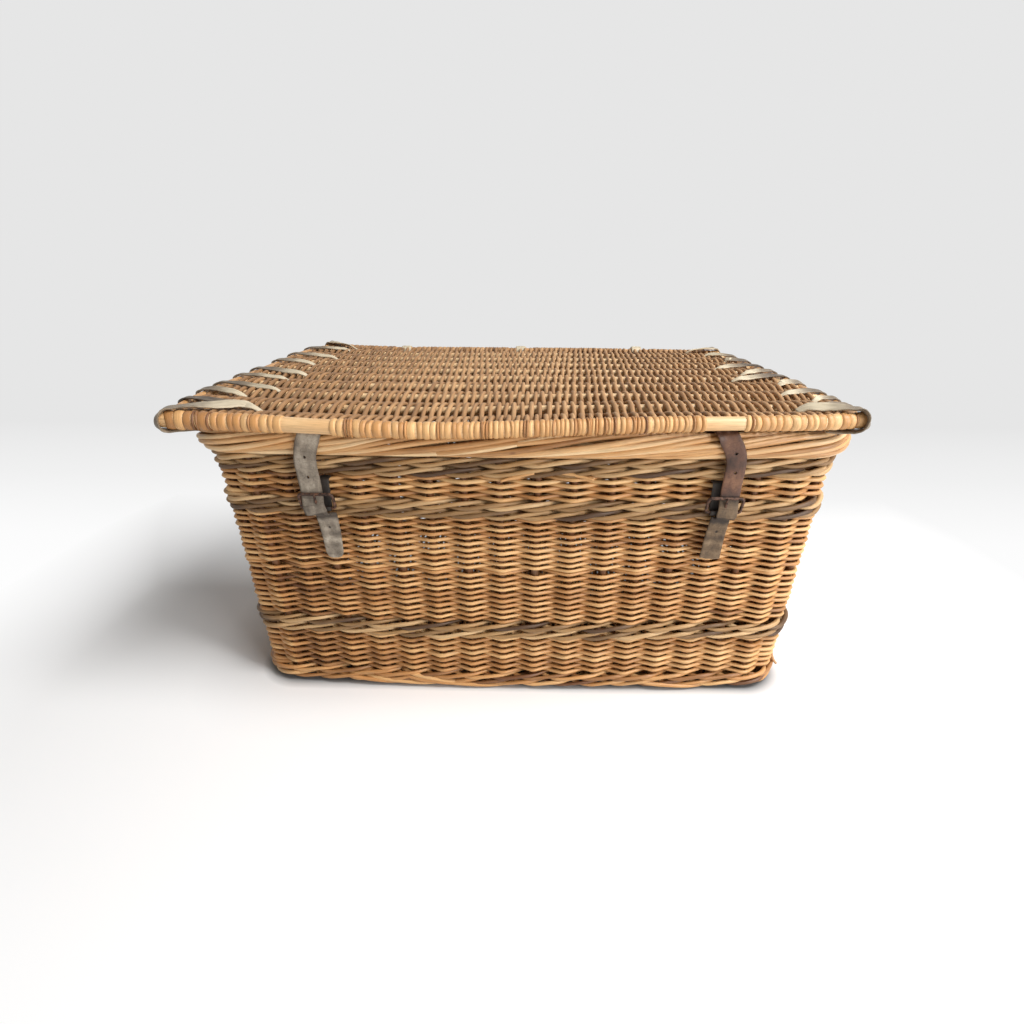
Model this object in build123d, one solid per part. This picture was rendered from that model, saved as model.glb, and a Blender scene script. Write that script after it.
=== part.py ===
from build123d import *
import math
import os

# A willow laundry hamper with a flat hinged lid, in millimetres.
# The origin is on the floor under the middle of the whole hamper, +Z is up, and -Y is the strapped front.

# Wall: an outline of four bowed sides and round corners that widens from the floor to the rim
MIDDLE_Y = 5.3
FLOOR_HALF_X = 353.0
FLOOR_HALF_Y = 240.0
RIM_HALF_X = 366.0
RIM_HALF_Y = 253.0
RIM_Z = 327.0
CORNER_R = 55.0
BOW_FRONT = 10.0
BOW_BACK = 4.0
BOW_END = 7.0
WEAVE_T = 8.0
STAKE_R = 4.0
STAKE_GAP = 0.45
STAKE_FOOT_Z = 4.0
STAKE_HEAD_Z = 326.7
STAKES_LONG = 16
STAKES_END = 10

# Flats that stand for the curve of a long side, an end and a corner
FLATS_LONG = 5
FLATS_END = 4
FLATS_CORNER = 4

# Thick rods of the wales stand this far proud of the weave, between these shares of a wale's height
WALE_PROUD = 2.5
WALE_SWELL = (0.2, 0.8)

# The weave stands out over each stake and is drawn in between two: share of the gap, share of the groove
GROOVE_DEEP = 4.0
GROOVE = ((0.22, 0.0), (0.5, 1.0), (0.78, 0.0))

# Bands of weave: name, foot, head, how far the rods stand proud, and how deep the grooves are
WALL_BANDS = (
    ("foot_wale", 0.0, 24.0, WALE_PROUD, 0.0),
    ("upsett_weave", 24.0, 82.0, 0.0, GROOVE_DEEP),
    ("lower_wale", 82.0, 105.0, WALE_PROUD, 0.0),
    ("main_weave_lower", 105.0, 182.0, 0.0, GROOVE_DEEP),
    ("main_weave_upper", 182.0, 253.0, 0.0, GROOVE_DEEP),
    ("middle_wale", 253.0, 275.0, WALE_PROUD, 0.0),
    ("upper_weave", 275.0, 305.0, 0.0, GROOVE_DEEP),
    ("top_wale", 305.0, 327.0, WALE_PROUD, 0.0),
)

# Top border: a roll of rods round the rim. Each pair is a share of its height and of its outward step
BORDER_TOP_Z = 358.4
BORDER_SWELL = ((0.0, 0.5), (0.22, 1.0), (0.72, 1.0), (1.0, 0.55))
BORDER_OUT = 10.0
BORDER_IN = 16.0

# Base: square-work like the lid, its sticks lying left to right
BASE_Z = 8.0
BASE_T = 14.0
BASE_INSET = 16.6
BASE_STICK_R = 4.5
BASE_STICKS = 7

# Lid: front and back rods, end rods, and weavers that run front to back over the lid sticks
LID_X = -6.0
LID_HALF_X = 380.0
LID_FRONT_Y = -267.0
LID_BACK_Y = 270.0
LID_BOW = 14.0
LID_Z = 370.0
ROD_R = 8.0
END_ROD_R = 6.0
END_ROD_IN = 10.0
MAT_Z = 371.0
MAT_T = 15.0
LID_DIP = 4.5
LID_DIP_HALF_W = 18.0
LID_STICK_R = 4.0
LID_STICKS = 8
BORE_GAP = 0.05
WRAP_R = 10.5
WRAP_END = 22.0
STICK_SIDES = 6
ROD_SIDES = 10

# Rawhide: three hinge loops, and lacing over the lid's ends and corners
HINGE_XS = (-226.0, -6.0, 214.0)
LOOP_W = 18.0
LOOP_R_IN = 8.3
LOOP_T = 2.6
LOOP_GAP = 0.25
LOOP_SIDES = 16
LOOP_LAP = 0.4
NOTCH_GAP = 2.0
BARE_BACK_W = 42.0
LACE_T = 2.0
LACE_FOLDS = 4
LACE_BULGE = 2.2
LACE_W = 9.0
LACE_CORNER_W = 20.0
LACE_YS = (-228.0, -185.0, -138.0, -88.0, -38.0, 14.0, 66.0, 122.0, 180.0)
LACE_REACH = 78.0
LACE_REACH_STEP = 14.0
LACE_UNDER = 30.0
LACE_CORNER_REACH = 62.0

# Straps and buckles. STRAP_X is the middle of the strap, and what hangs below it lies nearer the middle
STRAP_X = 229.0
LOWER_X = 222.5
STRAP_W = 25.0
STRAP_T = 2.6
BARE_FRONT_XS = (-229.0, 224.0)
BARE_FRONT_W = 50.0
HEEL_Z = 267.0
HEEL_OUT = 6.6
FRONT_BAR_Z = 286.0
FRONT_BAR_OUT = 12.6
FRAME_W = 42.0
WIRE_R = 1.8
WIRE_SIDES = 8
FRAME_CORNER_R = 4.0
PRONG_R = 1.4
PRONG_TURN_R = 3.4
PRONG_TAPER = 0.75
PRONG_TURN_T = 0.8
PRONG_TURN_GAP = 0.1
PRONG_REST = 0.5
PRONG_OVER = 1.6
CHAPE_X = 224.5
CHAPE_W = 20.0
CHAPE_T = 2.0
CHAPE_CUTS = (2.0, 2.3, 2.3)
CHAPE_TOP_Z = 301.0
CHAPE_LIE = 0.2
CHAPE_LIP = 2.4
CHAPE_SLOT_PLAY = 0.7
CHAPE_TUCK = 7.0
CHAPE_GAP = (0.6, 0.4)
TAIL_LONG = 52.0
TAIL_OUT = (1.6, -6.4)
TAIL_DROP = 9.4
TAIL_HOLES = (14.0, 34.0)
TAIL_TIP_W = 20.0
# The tip's round end in flats, as shares of its half width across and back from its point
TAIL_TIP = ((1.0, 0.72), (0.8, 0.3), (0.36, 0.0))
HOLE_R = 1.8
HOLE_DEEP = 12.0
STRAP_GAP = 0.95
STRAP_CUTS = (2.2, 6.0, 1.1, 3.0, 2.0)
STRAP_LIE = 0.05
STRAP_TUCK = 12.0
STRAP_BEND_Z = 335.0
STRAP_BAR_GAP = 1.4
# Outward steps and heights from the heel bar of the strap's way over it
STRAP_LIP = ((7.9, 1.0), (3.1, -6.2))
STRAP_HOLES = (343.0, 319.0)
PRONG_SLOT = (-2.2, 12.4)
SLOT_PLAY = 1.0
SLOT_OUT = 6.0
SLOT_DEEP = 16.0

# End handles: a twisted willow bow on each end, its two legs tucked into the wall
HANDLE_HALF = 72.0
HANDLE_Z = 262.0
HANDLE_OUT = 40.0
HANDLE_DROP = 22.0
HANDLE_R = 8.5
HANDLE_FLATS = 8
# Heights and outward steps of the wall that the handles' ends meet
HANDLE_BACKING = ((182.0, 0.6), (253.0, 0.6), (257.4, 2.6), (270.6, 2.6), (275.0, 0.6), (290.0, 0.6))


def lerp(a, b, t):
    """The value a share t of the way from a to b."""
    return a + (b - a) * t


def wall_half(z):
    """Half width and half depth of the wall's outside at height z."""
    t = z / RIM_Z
    return lerp(FLOOR_HALF_X, RIM_HALF_X, t), lerp(FLOOR_HALF_Y, RIM_HALF_Y, t)


def outline_points(z, inset):
    """Half sizes to the arcs' ends, and the corner radius, of the outline at a height and inset."""
    half_x, half_y = wall_half(z)
    radius = CORNER_R - inset
    return half_x - inset, half_y - inset, radius


def bow_point(half, depth, bow, share):
    """Point and outward normal on a bowed side, at a share from -1 to 1 along its arc."""
    radius = (half * half + bow * bow) / (2 * bow)
    angle = math.asin(half / radius) * share
    return radius * math.sin(angle), depth + bow - radius * (1 - math.cos(angle)), angle


def turned(points, turn, side_x, side_y):
    """Points of one side, drawn as if it faced +Y, turned to face another way and set out from the middle."""
    cos, sin = round(math.cos(turn)), round(math.sin(turn))
    return [(side_x + x * cos - y * sin, side_y + x * sin + y * cos) for x, y in points]


def side_places(flats, stakes, groove):
    """Places from 1 to -1 along a side, and how far each is set in: even flats, or grooves between stakes."""
    if not groove:
        return [(1 - 2 * k / flats, 0.0) for k in range(flats + 1)]
    gaps = stakes - 1
    dips = [(1 - 2 * (k + share) / gaps, groove * deep) for k in range(gaps) for share, deep in GROOVE]
    return [(1.0, 0.0), *dips, (-1.0, 0.0)]


def bow_side(half, depth, bow, places):
    """Points along a bowed side, each set in square to its arc."""
    side = []
    for share, step in places:
        x, y, angle = bow_point(half, depth, bow, share)
        side.append((x - step * math.sin(angle), y - step * math.cos(angle)))
    return side


def outline(z, inset, wall_z, groove=0.0):
    """Face at height z bounded by bowed sides and round corners in short flats, sized as the wall at wall_z."""
    a, b, r = outline_points(wall_z, inset)
    points = []
    for i, (half, depth, bow, flats, stakes) in enumerate((
        (a - r, b, BOW_BACK, FLATS_LONG, STAKES_LONG), (b - r, a, BOW_END, FLATS_END, STAKES_END),
        (a - r, b, BOW_FRONT, FLATS_LONG, STAKES_LONG), (b - r, a, BOW_END, FLATS_END, STAKES_END),
    )):
        side = bow_side(half, depth, bow, side_places(flats, stakes, groove))
        for k in range(1, FLATS_CORNER):
            step, reach = math.pi / 2 * k / FLATS_CORNER, r - groove * (k % 2)
            side.append((-half - reach * math.sin(step), depth - r + reach * math.cos(step)))
        points += turned(side, math.pi / 2 * i, 0.0, MIDDLE_Y)
    return Pos(0, 0, z) * make_face(Polyline(*points, close=True))


def ring(steps, inner, groove=0.0):
    """A closed ring of weave: outside steps of height and outward step, and a plain inside."""
    outer = loft([outline(z, -step, datum, groove) for z, step, datum in steps], ruled=True)
    return outer - loft([outline(z, inset, datum) for z, inset, datum in inner], ruled=True)


def wall_band(z0, z1, proud, groove):
    """One band of the wall's weave. A wale's thick rods swell out, and plain weave dips between stakes."""
    steps = [(z0, 0.0, z0), (z1, 0.0, z1)]
    if proud:
        steps[1:1] = [(lerp(z0, z1, share), proud, lerp(z0, z1, share)) for share in WALE_SWELL]
    return ring(steps, [(z0, WEAVE_T, z0), (z1, WEAVE_T, z1)], groove)


def top_border():
    """The thick roll of border rods that caps the wall, rounded off at its head."""
    steps = [(lerp(RIM_Z, BORDER_TOP_Z, share), BORDER_OUT * out, RIM_Z) for share, out in BORDER_SWELL]
    return ring(steps, [(RIM_Z, BORDER_IN, RIM_Z), (BORDER_TOP_Z, BORDER_IN, RIM_Z)])


def stake_place(z, side, share):
    """Centre of a stake at height z: it stands against the inside of the weave."""
    a, b, r = outline_points(z, WEAVE_T)
    step = STAKE_R + STAKE_GAP
    if side in ("front", "back"):
        bow = BOW_FRONT if side == "front" else BOW_BACK
        along, out, angle = bow_point(a - r, b, bow, share)
        x, y = along - step * math.sin(angle), out - step * math.cos(angle)
        return (x, y + MIDDLE_Y, z) if side == "back" else (x, MIDDLE_Y - y, z)
    if side in ("left", "right"):
        along, out, angle = bow_point(b - r, a, BOW_END, share)
        y, x = along - step * math.sin(angle), out - step * math.cos(angle)
        return (x, y + MIDDLE_Y, z) if side == "right" else (-x, y + MIDDLE_Y, z)
    sign_x, sign_y = side
    reach = (r - step) * math.sqrt(0.5)
    return sign_x * (a - r + reach), MIDDLE_Y + sign_y * (b - r + reach), z


def eased(points, cuts):
    """A line through points, with each inner corner cut off in two flats from a stated distance away."""
    corners = [Vector(*point) for point in points]
    line = [corners[0]]
    for before, corner, after, cut in zip(corners, corners[1:], corners[2:], cuts):
        first = corner + (before - corner).normalized() * cut
        last = corner + (after - corner).normalized() * cut
        line += [first, (first + last + corner * 2) * 0.25, last]
    return Polyline(*line, corners[-1])


def rod_section(radius, sides=None):
    """A rod's section: round, or with a few flats round the same circle where many rods repeat."""
    return RegularPolygon(radius, sides) if sides else Circle(radius)


def rod_between(start, end, radius, sides=None):
    """A straight rod from one point to another."""
    axis = Vector(*end) - Vector(*start)
    turn = (0, 0, 1) if abs(axis.Z) < axis.length / 2 else (1, 0, 0)
    return extrude(Plane(origin=start, x_dir=turn, z_dir=axis) * rod_section(radius, sides), axis.length)


def stakes(side, count):
    """The upright stakes of one side, evenly spaced along its bow."""
    rods = []
    for i in range(count):
        share = lerp(-1, 1, i / (count - 1)) if count > 1 else 0
        foot, head = stake_place(STAKE_FOOT_Z, side, share), stake_place(STAKE_HEAD_Z, side, share)
        rods.append(rod_between(foot, head, STAKE_R, STICK_SIDES))
    return rods


def corner_stakes():
    """One stake at the middle of each round corner."""
    return [rod for sx in (-1, 1) for sy in (-1, 1) for rod in stakes((sx, sy), 1)]


def base_stick_ys():
    """The base sticks lie this far from the middle."""
    span = FLOOR_HALF_Y - BASE_INSET
    return [lerp(-span, span, (i + 1) / (BASE_STICKS + 1)) for i in range(BASE_STICKS)]


def base_sticks():
    """The sticks of the base, one solid each, ending at the base's ends."""
    half = FLOOR_HALF_X - BASE_INSET
    z = BASE_Z + BASE_T / 2
    places = [((-half, y + MIDDLE_Y, z), (half, y + MIDDLE_Y, z)) for y in base_stick_ys()]
    return [rod_between(start, end, BASE_STICK_R, STICK_SIDES) for start, end in places]


def base_mat():
    """The woven base, bored for its sticks."""
    plate = extrude(outline(BASE_Z, BASE_INSET, 0.0), BASE_T)
    reach = FLOOR_HALF_X + BOW_END
    z = BASE_Z + BASE_T / 2
    for y in base_stick_ys():
        start, end = (-reach, y + MIDDLE_Y, z), (reach, y + MIDDLE_Y, z)
        plate -= rod_between(start, end, BASE_STICK_R + BORE_GAP, STICK_SIDES)
    return plate


def front_rod_path():
    """Centreline of the lid's bowed front rod."""
    y = MIDDLE_Y + LID_FRONT_Y
    half = LID_HALF_X
    return ThreePointArc((LID_X - half, y, LID_Z), (LID_X, y - LID_BOW, LID_Z), (LID_X + half, y, LID_Z))


def rod_along(path, radius, sides=None):
    """A rod along a path."""
    return sweep(Plane(origin=path @ 0, x_dir=(0, 0, 1), z_dir=path % 0) * rod_section(radius, sides), path=path)


def sleeve_section():
    """Section of the weavers' turns, laid close on a rod of the same flats."""
    return rod_section(WRAP_R, ROD_SIDES) - rod_section(ROD_R + BORE_GAP, ROD_SIDES)


def front_rod_sleeve(start, end):
    """The weavers' turns on part of the front rod, as a sleeve on it."""
    path = front_rod_path().trim(start, end)
    return sweep(Plane(origin=path @ 0, x_dir=(0, 0, 1), z_dir=path % 0) * sleeve_section(), path=path)


def lid_front_rod():
    """The bowed front rod, its ends cut square."""
    return rod_along(front_rod_path(), ROD_R, ROD_SIDES)


def lid_back_rod():
    """The straight round back rod, which turns in the hinge loops."""
    half = LID_HALF_X
    y = MIDDLE_Y + LID_BACK_Y
    return rod_between((LID_X - half, y, LID_Z), (LID_X + half, y, LID_Z), ROD_R)


def share_at(x):
    """Share of the front rod's path at a place along X."""
    half = LID_HALF_X
    radius = (half * half + LID_BOW * LID_BOW) / (2 * LID_BOW)
    return 0.5 + 0.5 * math.asin((x - LID_X) / radius) / math.asin(half / radius)


def front_rod_wrapping():
    """Three sleeves of turns on the front rod, with the two strap places left bare."""
    half = LID_HALF_X - WRAP_END
    left, right = BARE_FRONT_XS
    spans = (
        (LID_X - half, left - BARE_FRONT_W / 2),
        (left + BARE_FRONT_W / 2, right - BARE_FRONT_W / 2),
        (right + BARE_FRONT_W / 2, LID_X + half),
    )
    return [front_rod_sleeve(share_at(x0), share_at(x1)) for x0, x1 in spans]


def back_rod_wrapping():
    """Four sleeves of turns on the back rod, with a bare place at each hinge loop."""
    half = LID_HALF_X - WRAP_END
    edges = [LID_X - half]
    for x in HINGE_XS:
        edges += [x - BARE_BACK_W / 2, x + BARE_BACK_W / 2]
    edges.append(LID_X + half)
    y = MIDDLE_Y + LID_BACK_Y
    sleeves = []
    for x0, x1 in zip(edges[::2], edges[1::2]):
        section = rod_section(WRAP_R, ROD_SIDES) - RegularPolygon(ROD_R + BORE_GAP, ROD_SIDES, major_radius=False)
        sleeves.append(extrude(Plane(origin=(x0, y, LID_Z), x_dir=(0, 0, 1), z_dir=(1, 0, 0)) * section, x1 - x0))
    return sleeves


def lid_stick_ys():
    """The lid sticks lie evenly between the front and back rods."""
    return [MIDDLE_Y + lerp(LID_FRONT_Y, LID_BACK_Y, (i + 1) / (LID_STICKS + 1)) for i in range(LID_STICKS)]


def end_rod_x(side):
    """Where an end rod lies along X."""
    return LID_X + side * (LID_HALF_X - END_ROD_IN)


def lid_sticks():
    """The lid's sticks, from one end rod to the other."""
    x0, x1 = end_rod_x(-1) + END_ROD_R, end_rod_x(1) - END_ROD_R
    return [rod_between((x0, y, MAT_Z), (x1, y, MAT_Z), LID_STICK_R, STICK_SIDES) for y in lid_stick_ys()]


def lid_end_rod(side):
    """The rod along one end of the lid, butted between the front and back rods."""
    x = end_rod_x(side)
    front = front_rod_path() @ share_at(x)
    rod = rod_between((x, front.Y, LID_Z), (x, MIDDLE_Y + LID_BACK_Y, LID_Z), END_ROD_R, STICK_SIDES)
    beside = [front_rod_path() @ share_at(x + step) for step in (-END_ROD_IN, END_ROD_IN)]
    rod -= rod_between(beside[0], beside[1], ROD_R + 2 * BORE_GAP)
    rod -= rod_between((x - ROD_R, MIDDLE_Y + LID_BACK_Y, LID_Z), (x + ROD_R, MIDDLE_Y + LID_BACK_Y, LID_Z), ROD_R)
    return rod.solids().sort_by(SortBy.VOLUME)[-1]


def lid_dips():
    """Long dips of the mat, above and below, between each two sticks and clear of the lacing."""
    ys = lid_stick_ys()
    reach = LACE_REACH + LACE_REACH_STEP + LACE_W
    x0, x1 = end_rod_x(-1) + reach, end_rod_x(1) - reach
    dips = []
    for y in [(y0 + y1) / 2 for y0, y1 in zip(ys, ys[1:])]:
        for way in (-1, 1):
            face = MAT_T / 2 * way
            dip = Polygon((-LID_DIP_HALF_W, face), (0, face - LID_DIP * way), (LID_DIP_HALF_W, face), align=None)
            dips.append(extrude(Plane(origin=(x0, y, MAT_Z), x_dir=(0, 1, 0), z_dir=(1, 0, 0)) * dip, x1 - x0, dir=(1, 0, 0)))
    return dips


def lid_weave():
    """The woven mat of the lid: bored for its sticks, dipped between them, and notched for the loops."""
    x0, x1 = end_rod_x(-1) + END_ROD_R, end_rod_x(1) - END_ROD_R
    y0, y1 = MIDDLE_Y + LID_FRONT_Y, MIDDLE_Y + LID_BACK_Y
    edges = [
        ThreePointArc((x0, y0, 0), (LID_X, y0 - LID_BOW, 0), (x1, y0, 0)),
        Line((x1, y0, 0), (x1, y1, 0)),
        Line((x1, y1, 0), (x0, y1, 0)),
        Line((x0, y1, 0), (x0, y0, 0)),
    ]
    mat = extrude(Pos(0, 0, MAT_Z - MAT_T / 2) * make_face(Wire(edges)), MAT_T)
    mat -= rod_along(front_rod_path(), WRAP_R + BORE_GAP, ROD_SIDES)
    mat -= rod_between((x0 - 1, y1, LID_Z), (x1 + 1, y1, LID_Z), WRAP_R + BORE_GAP, ROD_SIDES)
    for y in lid_stick_ys():
        mat -= rod_between((x0 - 1, y, MAT_Z), (x1 + 1, y, MAT_Z), LID_STICK_R + BORE_GAP, STICK_SIDES)
    for x in HINGE_XS:
        mat -= Pos(x, y1, MAT_Z) * Box(LOOP_W + 2 * NOTCH_GAP, 4 * ROD_R, 4 * MAT_T)
    mat -= lid_dips()
    return mat.solids().sort_by(SortBy.VOLUME)[-1]


def hinge_loop(x):
    """A rawhide band round the back rod, its doubled ends drawn down behind the border and tucked under it."""
    y = MIDDLE_Y + LID_BACK_Y
    plane = Plane(origin=(x - LOOP_W / 2, y, LID_Z), x_dir=(0, 1, 0), z_dir=(1, 0, 0))
    ring = RegularPolygon(LOOP_R_IN + LOOP_T, LOOP_SIDES) - RegularPolygon(LOOP_R_IN, LOOP_SIDES, major_radius=False)
    border = border_back(x) + LOOP_GAP - LID_BACK_Y
    wale = wall_back(x) + WALE_PROUD + LOOP_GAP - LID_BACK_Y
    top = -LOOP_R_IN - LOOP_LAP
    under = RIM_Z - LOOP_GAP - LID_Z
    tab = Polygon(
        (border, top),
        (border + 2 * LOOP_T, top),
        (border + 2 * LOOP_T, under - LOOP_T),
        (wale, under - LOOP_T),
        (wale, under),
        (border, under),
        align=None,
    )
    return extrude(plane * ring, LOOP_W, dir=(1, 0, 0)) + extrude(plane * tab, LOOP_W, dir=(1, 0, 0))


def border_back(x):
    """How far behind the middle the border's outside lies at x."""
    a, b, r = outline_points(RIM_Z, -BORDER_OUT)
    return sagged(x, a - r, b, BOW_BACK)


def wall_back(x):
    """How far behind the middle the top wale's outside lies at x."""
    a, b, r = outline_points(RIM_Z, 0.0)
    return sagged(x, a - r, b, BOW_BACK)


def sagged(x, half, depth, bow):
    """Depth of a bowed side at x, as an arc through its ends and middle."""
    radius = (half * half + bow * bow) / (2 * bow)
    return depth + bow - radius + math.sqrt(radius * radius - x * x)


def lace_bend(radius_x, radius_z, middle_z):
    """Folds of a strip over the end rod: points on a half ellipse, from the top round to the underside."""
    turns = [math.pi / 2 - math.pi * i / LACE_FOLDS for i in range(LACE_FOLDS + 1)]
    return [(radius_x * math.cos(turn), middle_z + radius_z * math.sin(turn)) for turn in turns]


def lace(side, y, width, reach):
    """One rawhide strip folded over the end rod, flat along the top of the mat and short beneath it."""
    half, middle = MAT_T / 2, MAT_Z - LID_Z
    bulge = END_ROD_R + LACE_BULGE
    inner = lace_bend(bulge, half, middle)
    outer = lace_bend(bulge + LACE_T, half + LACE_T, middle)
    low = [(-LACE_UNDER, middle - half), (-LACE_UNDER, middle - half - LACE_T)]
    high = [(-reach, middle + half + LACE_T), (-reach, middle + half)]
    plane = Plane(origin=(end_rod_x(side), y + side * width / 2, LID_Z), x_dir=(side, 0, 0), z_dir=(0, -side, 0))
    return extrude(plane * Polygon(*inner, *low, *outer[::-1], *high, align=None), width, dir=(0, -side, 0))


def lid_lacing(side):
    """The strips over one end of the lid, of uneven reach, with a broad one by each corner."""
    strips = []
    for i, y in enumerate(LACE_YS):
        reach = LACE_REACH + LACE_REACH_STEP * ((i * 2) % 3 - 1)
        strips.append(lace(side, MIDDLE_Y + y, LACE_W, reach))
    corner_in = WRAP_R + LACE_CORNER_W / 2 + 1
    for y in (LID_FRONT_Y + corner_in, LID_BACK_Y - corner_in):
        strips.append(lace(side, MIDDLE_Y + y, LACE_CORNER_W, LACE_CORNER_REACH))
    return strips


def end_handle(side):
    """A bow of twisted willow, standing out from one end and drooping a little."""
    half_x = wall_half(HANDLE_Z)[0]
    x0, x1 = half_x - WEAVE_T / 2, half_x + BOW_END + HANDLE_OUT
    bow = ThreePointArc(
        (side * x0, MIDDLE_Y - HANDLE_HALF, HANDLE_Z),
        (side * x1, MIDDLE_Y, HANDLE_Z - HANDLE_DROP),
        (side * x0, MIDDLE_Y + HANDLE_HALF, HANDLE_Z),
    )
    path = Polyline(*[bow @ (i / HANDLE_FLATS) for i in range(HANDLE_FLATS + 1)])
    section = Plane(origin=path @ 0, x_dir=(0, 0, 1), z_dir=path % 0) * rod_section(HANDLE_R, ROD_SIDES)
    wall = loft([outline(z, -step, z) for z, step in HANDLE_BACKING], ruled=True)
    return (sweep(section, path=path, transition=Transition.RIGHT) - wall).solids().sort_by(SortBy.VOLUME)[-1]


def front_out(x, z):
    """Y of the front wall's outside at x and height z."""
    a, b, r = outline_points(z, 0.0)
    return MIDDLE_Y - sagged(x, a - r, b, BOW_FRONT)


def strap_datum():
    """Y of the wall's outside behind the buckles, from which the leather's places are counted."""
    return front_out(STRAP_X, FRONT_BAR_Z)


def side_plane(x):
    """Plane across the strap at x, its own X pointing out of the front wall and its own Y up."""
    return Plane(origin=(x, strap_datum(), 0), x_dir=(0, -1, 0), z_dir=(-1, 0, 0))


def band_along(points, cuts, width, thickness, x):
    """A flat band of leather along an eased line in the side plane at x."""
    path = eased(points, cuts)
    section = Plane(origin=path @ 0, z_dir=path % 0, x_dir=(0, 0, 1)) * Rectangle(width, thickness)
    return side_plane(x) * sweep(section, path=path, transition=Transition.RIGHT)


def border_front_out():
    """How far the border's outside stands out from the leather's datum."""
    a, b, r = outline_points(RIM_Z, -BORDER_OUT)
    return strap_datum() - (MIDDLE_Y - sagged(STRAP_X, a - r, b, BOW_FRONT))


def strap(side):
    """The strap: up inside the wall, over the border, down behind the front bar and over the heel bar."""
    x = side * STRAP_X
    border = border_front_out()
    out = border + STRAP_T / 2 + STRAP_GAP
    inner = border - BORDER_OUT - BORDER_IN - STRAP_T / 2 - 2 * STRAP_GAP
    top = BORDER_TOP_Z + STRAP_T / 2 + STRAP_LIE
    points = (
        (inner, RIM_Z - STRAP_TUCK),
        (inner, top),
        (out, top),
        (out, STRAP_BEND_Z),
        (FRONT_BAR_OUT - WIRE_R - STRAP_T / 2 - STRAP_BAR_GAP, FRONT_BAR_Z),
        *[(HEEL_OUT + step, HEEL_Z + rise) for step, rise in STRAP_LIP],
    )
    band = band_along(points, STRAP_CUTS, STRAP_W, STRAP_T, x)
    for z in STRAP_HOLES:
        hole = extrude(Plane.XZ * RegularPolygon(HOLE_R, WIRE_SIDES), HOLE_DEEP, both=True)
        band -= Pos(x, strap_datum() - border_front_out(), z) * hole
    slot = Box(2 * (PRONG_R + SLOT_PLAY), SLOT_DEEP, PRONG_SLOT[1] - PRONG_SLOT[0])
    return band - Pos(x, strap_datum() - HEEL_OUT - SLOT_OUT, HEEL_Z + sum(PRONG_SLOT) / 2) * slot


def strap_tail(side):
    """The strap's loose end below the buckle: a tapered tongue with a round tip and two holes."""
    x = side * LOWER_X
    pivot = tail_pivot()
    half_top, half_tip = STRAP_W / 2, TAIL_TIP_W / 2
    long = TAIL_LONG
    lean = math.degrees(math.atan2(TAIL_OUT[0] - TAIL_OUT[1], long))
    tip = [(half_tip * across, -long + half_tip * back) for across, back in TAIL_TIP]
    tongue = Polygon((-half_top, 0), (half_top, 0), *tip, *[(-px, py) for px, py in tip[::-1]], align=None)
    for depth in TAIL_HOLES:
        tongue -= Pos(0, -depth) * RegularPolygon(HOLE_R, WIRE_SIDES)
    blade = extrude(tongue, STRAP_T / 2, both=True)
    knuckle = Rot(0, 90, 0) * Cylinder(STRAP_T / 2, STRAP_W)
    flat = Rot(90, 0, 0) * (blade + knuckle)
    return Pos(x, pivot[0], pivot[1]) * Rot(-lean, 0, 0) * flat


def tail_pivot():
    """Y and Z of the line that a strap's tail bends about."""
    return strap_datum() - HEEL_OUT - TAIL_OUT[0], HEEL_Z - TAIL_DROP


def chape(side):
    """The buckle's leather: out through the weave, down behind the strap and folded round the heel bar."""
    x = side * CHAPE_X
    fold = WIRE_R + CHAPE_T / 2 + CHAPE_LIE
    points = (
        (-CHAPE_TUCK, CHAPE_TOP_Z),
        (HEEL_OUT - fold, CHAPE_TOP_Z),
        (HEEL_OUT - fold, HEEL_Z - fold),
        (HEEL_OUT + fold, HEEL_Z - fold),
        (HEEL_OUT + fold, HEEL_Z + CHAPE_LIP),
    )
    band = band_along(points, CHAPE_CUTS, CHAPE_W, CHAPE_T, x)
    prong_x = side * STRAP_X
    slot = Box(2 * (PRONG_R + CHAPE_SLOT_PLAY), 4 * fold, 4 * fold)
    return band - Pos(prong_x, strap_datum() - HEEL_OUT, HEEL_Z) * slot


def chape_gap(side):
    """The gap between two rows of weave that a chape comes out through."""
    gap = Box(CHAPE_W + CHAPE_GAP[0], 4 * WEAVE_T, CHAPE_T + CHAPE_GAP[1])
    return Pos(side * CHAPE_X, strap_datum(), CHAPE_TOP_Z) * gap


def buckle_frame(side):
    """A bent iron wire frame: a straight round heel bar, two raked sides and a front bar."""
    x = side * STRAP_X
    half = FRAME_W / 2 - WIRE_R
    datum = strap_datum()
    heel_y, front_y = datum - HEEL_OUT, datum - FRONT_BAR_OUT
    corners = (
        (x + half, heel_y, HEEL_Z),
        (x + half, front_y, FRONT_BAR_Z),
        (x - half, front_y, FRONT_BAR_Z),
        (x - half, heel_y, HEEL_Z),
    )
    path = eased(corners, (FRAME_CORNER_R, FRAME_CORNER_R))
    section = Plane(origin=path @ 0, z_dir=path % 0) * RegularPolygon(WIRE_R, WIRE_SIDES)
    bent = sweep(section, path=path, transition=Transition.RIGHT)
    reach = half + WIRE_R
    return bent + rod_between((x - reach, heel_y, HEEL_Z), (x + reach, heel_y, HEEL_Z), WIRE_R)


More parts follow.
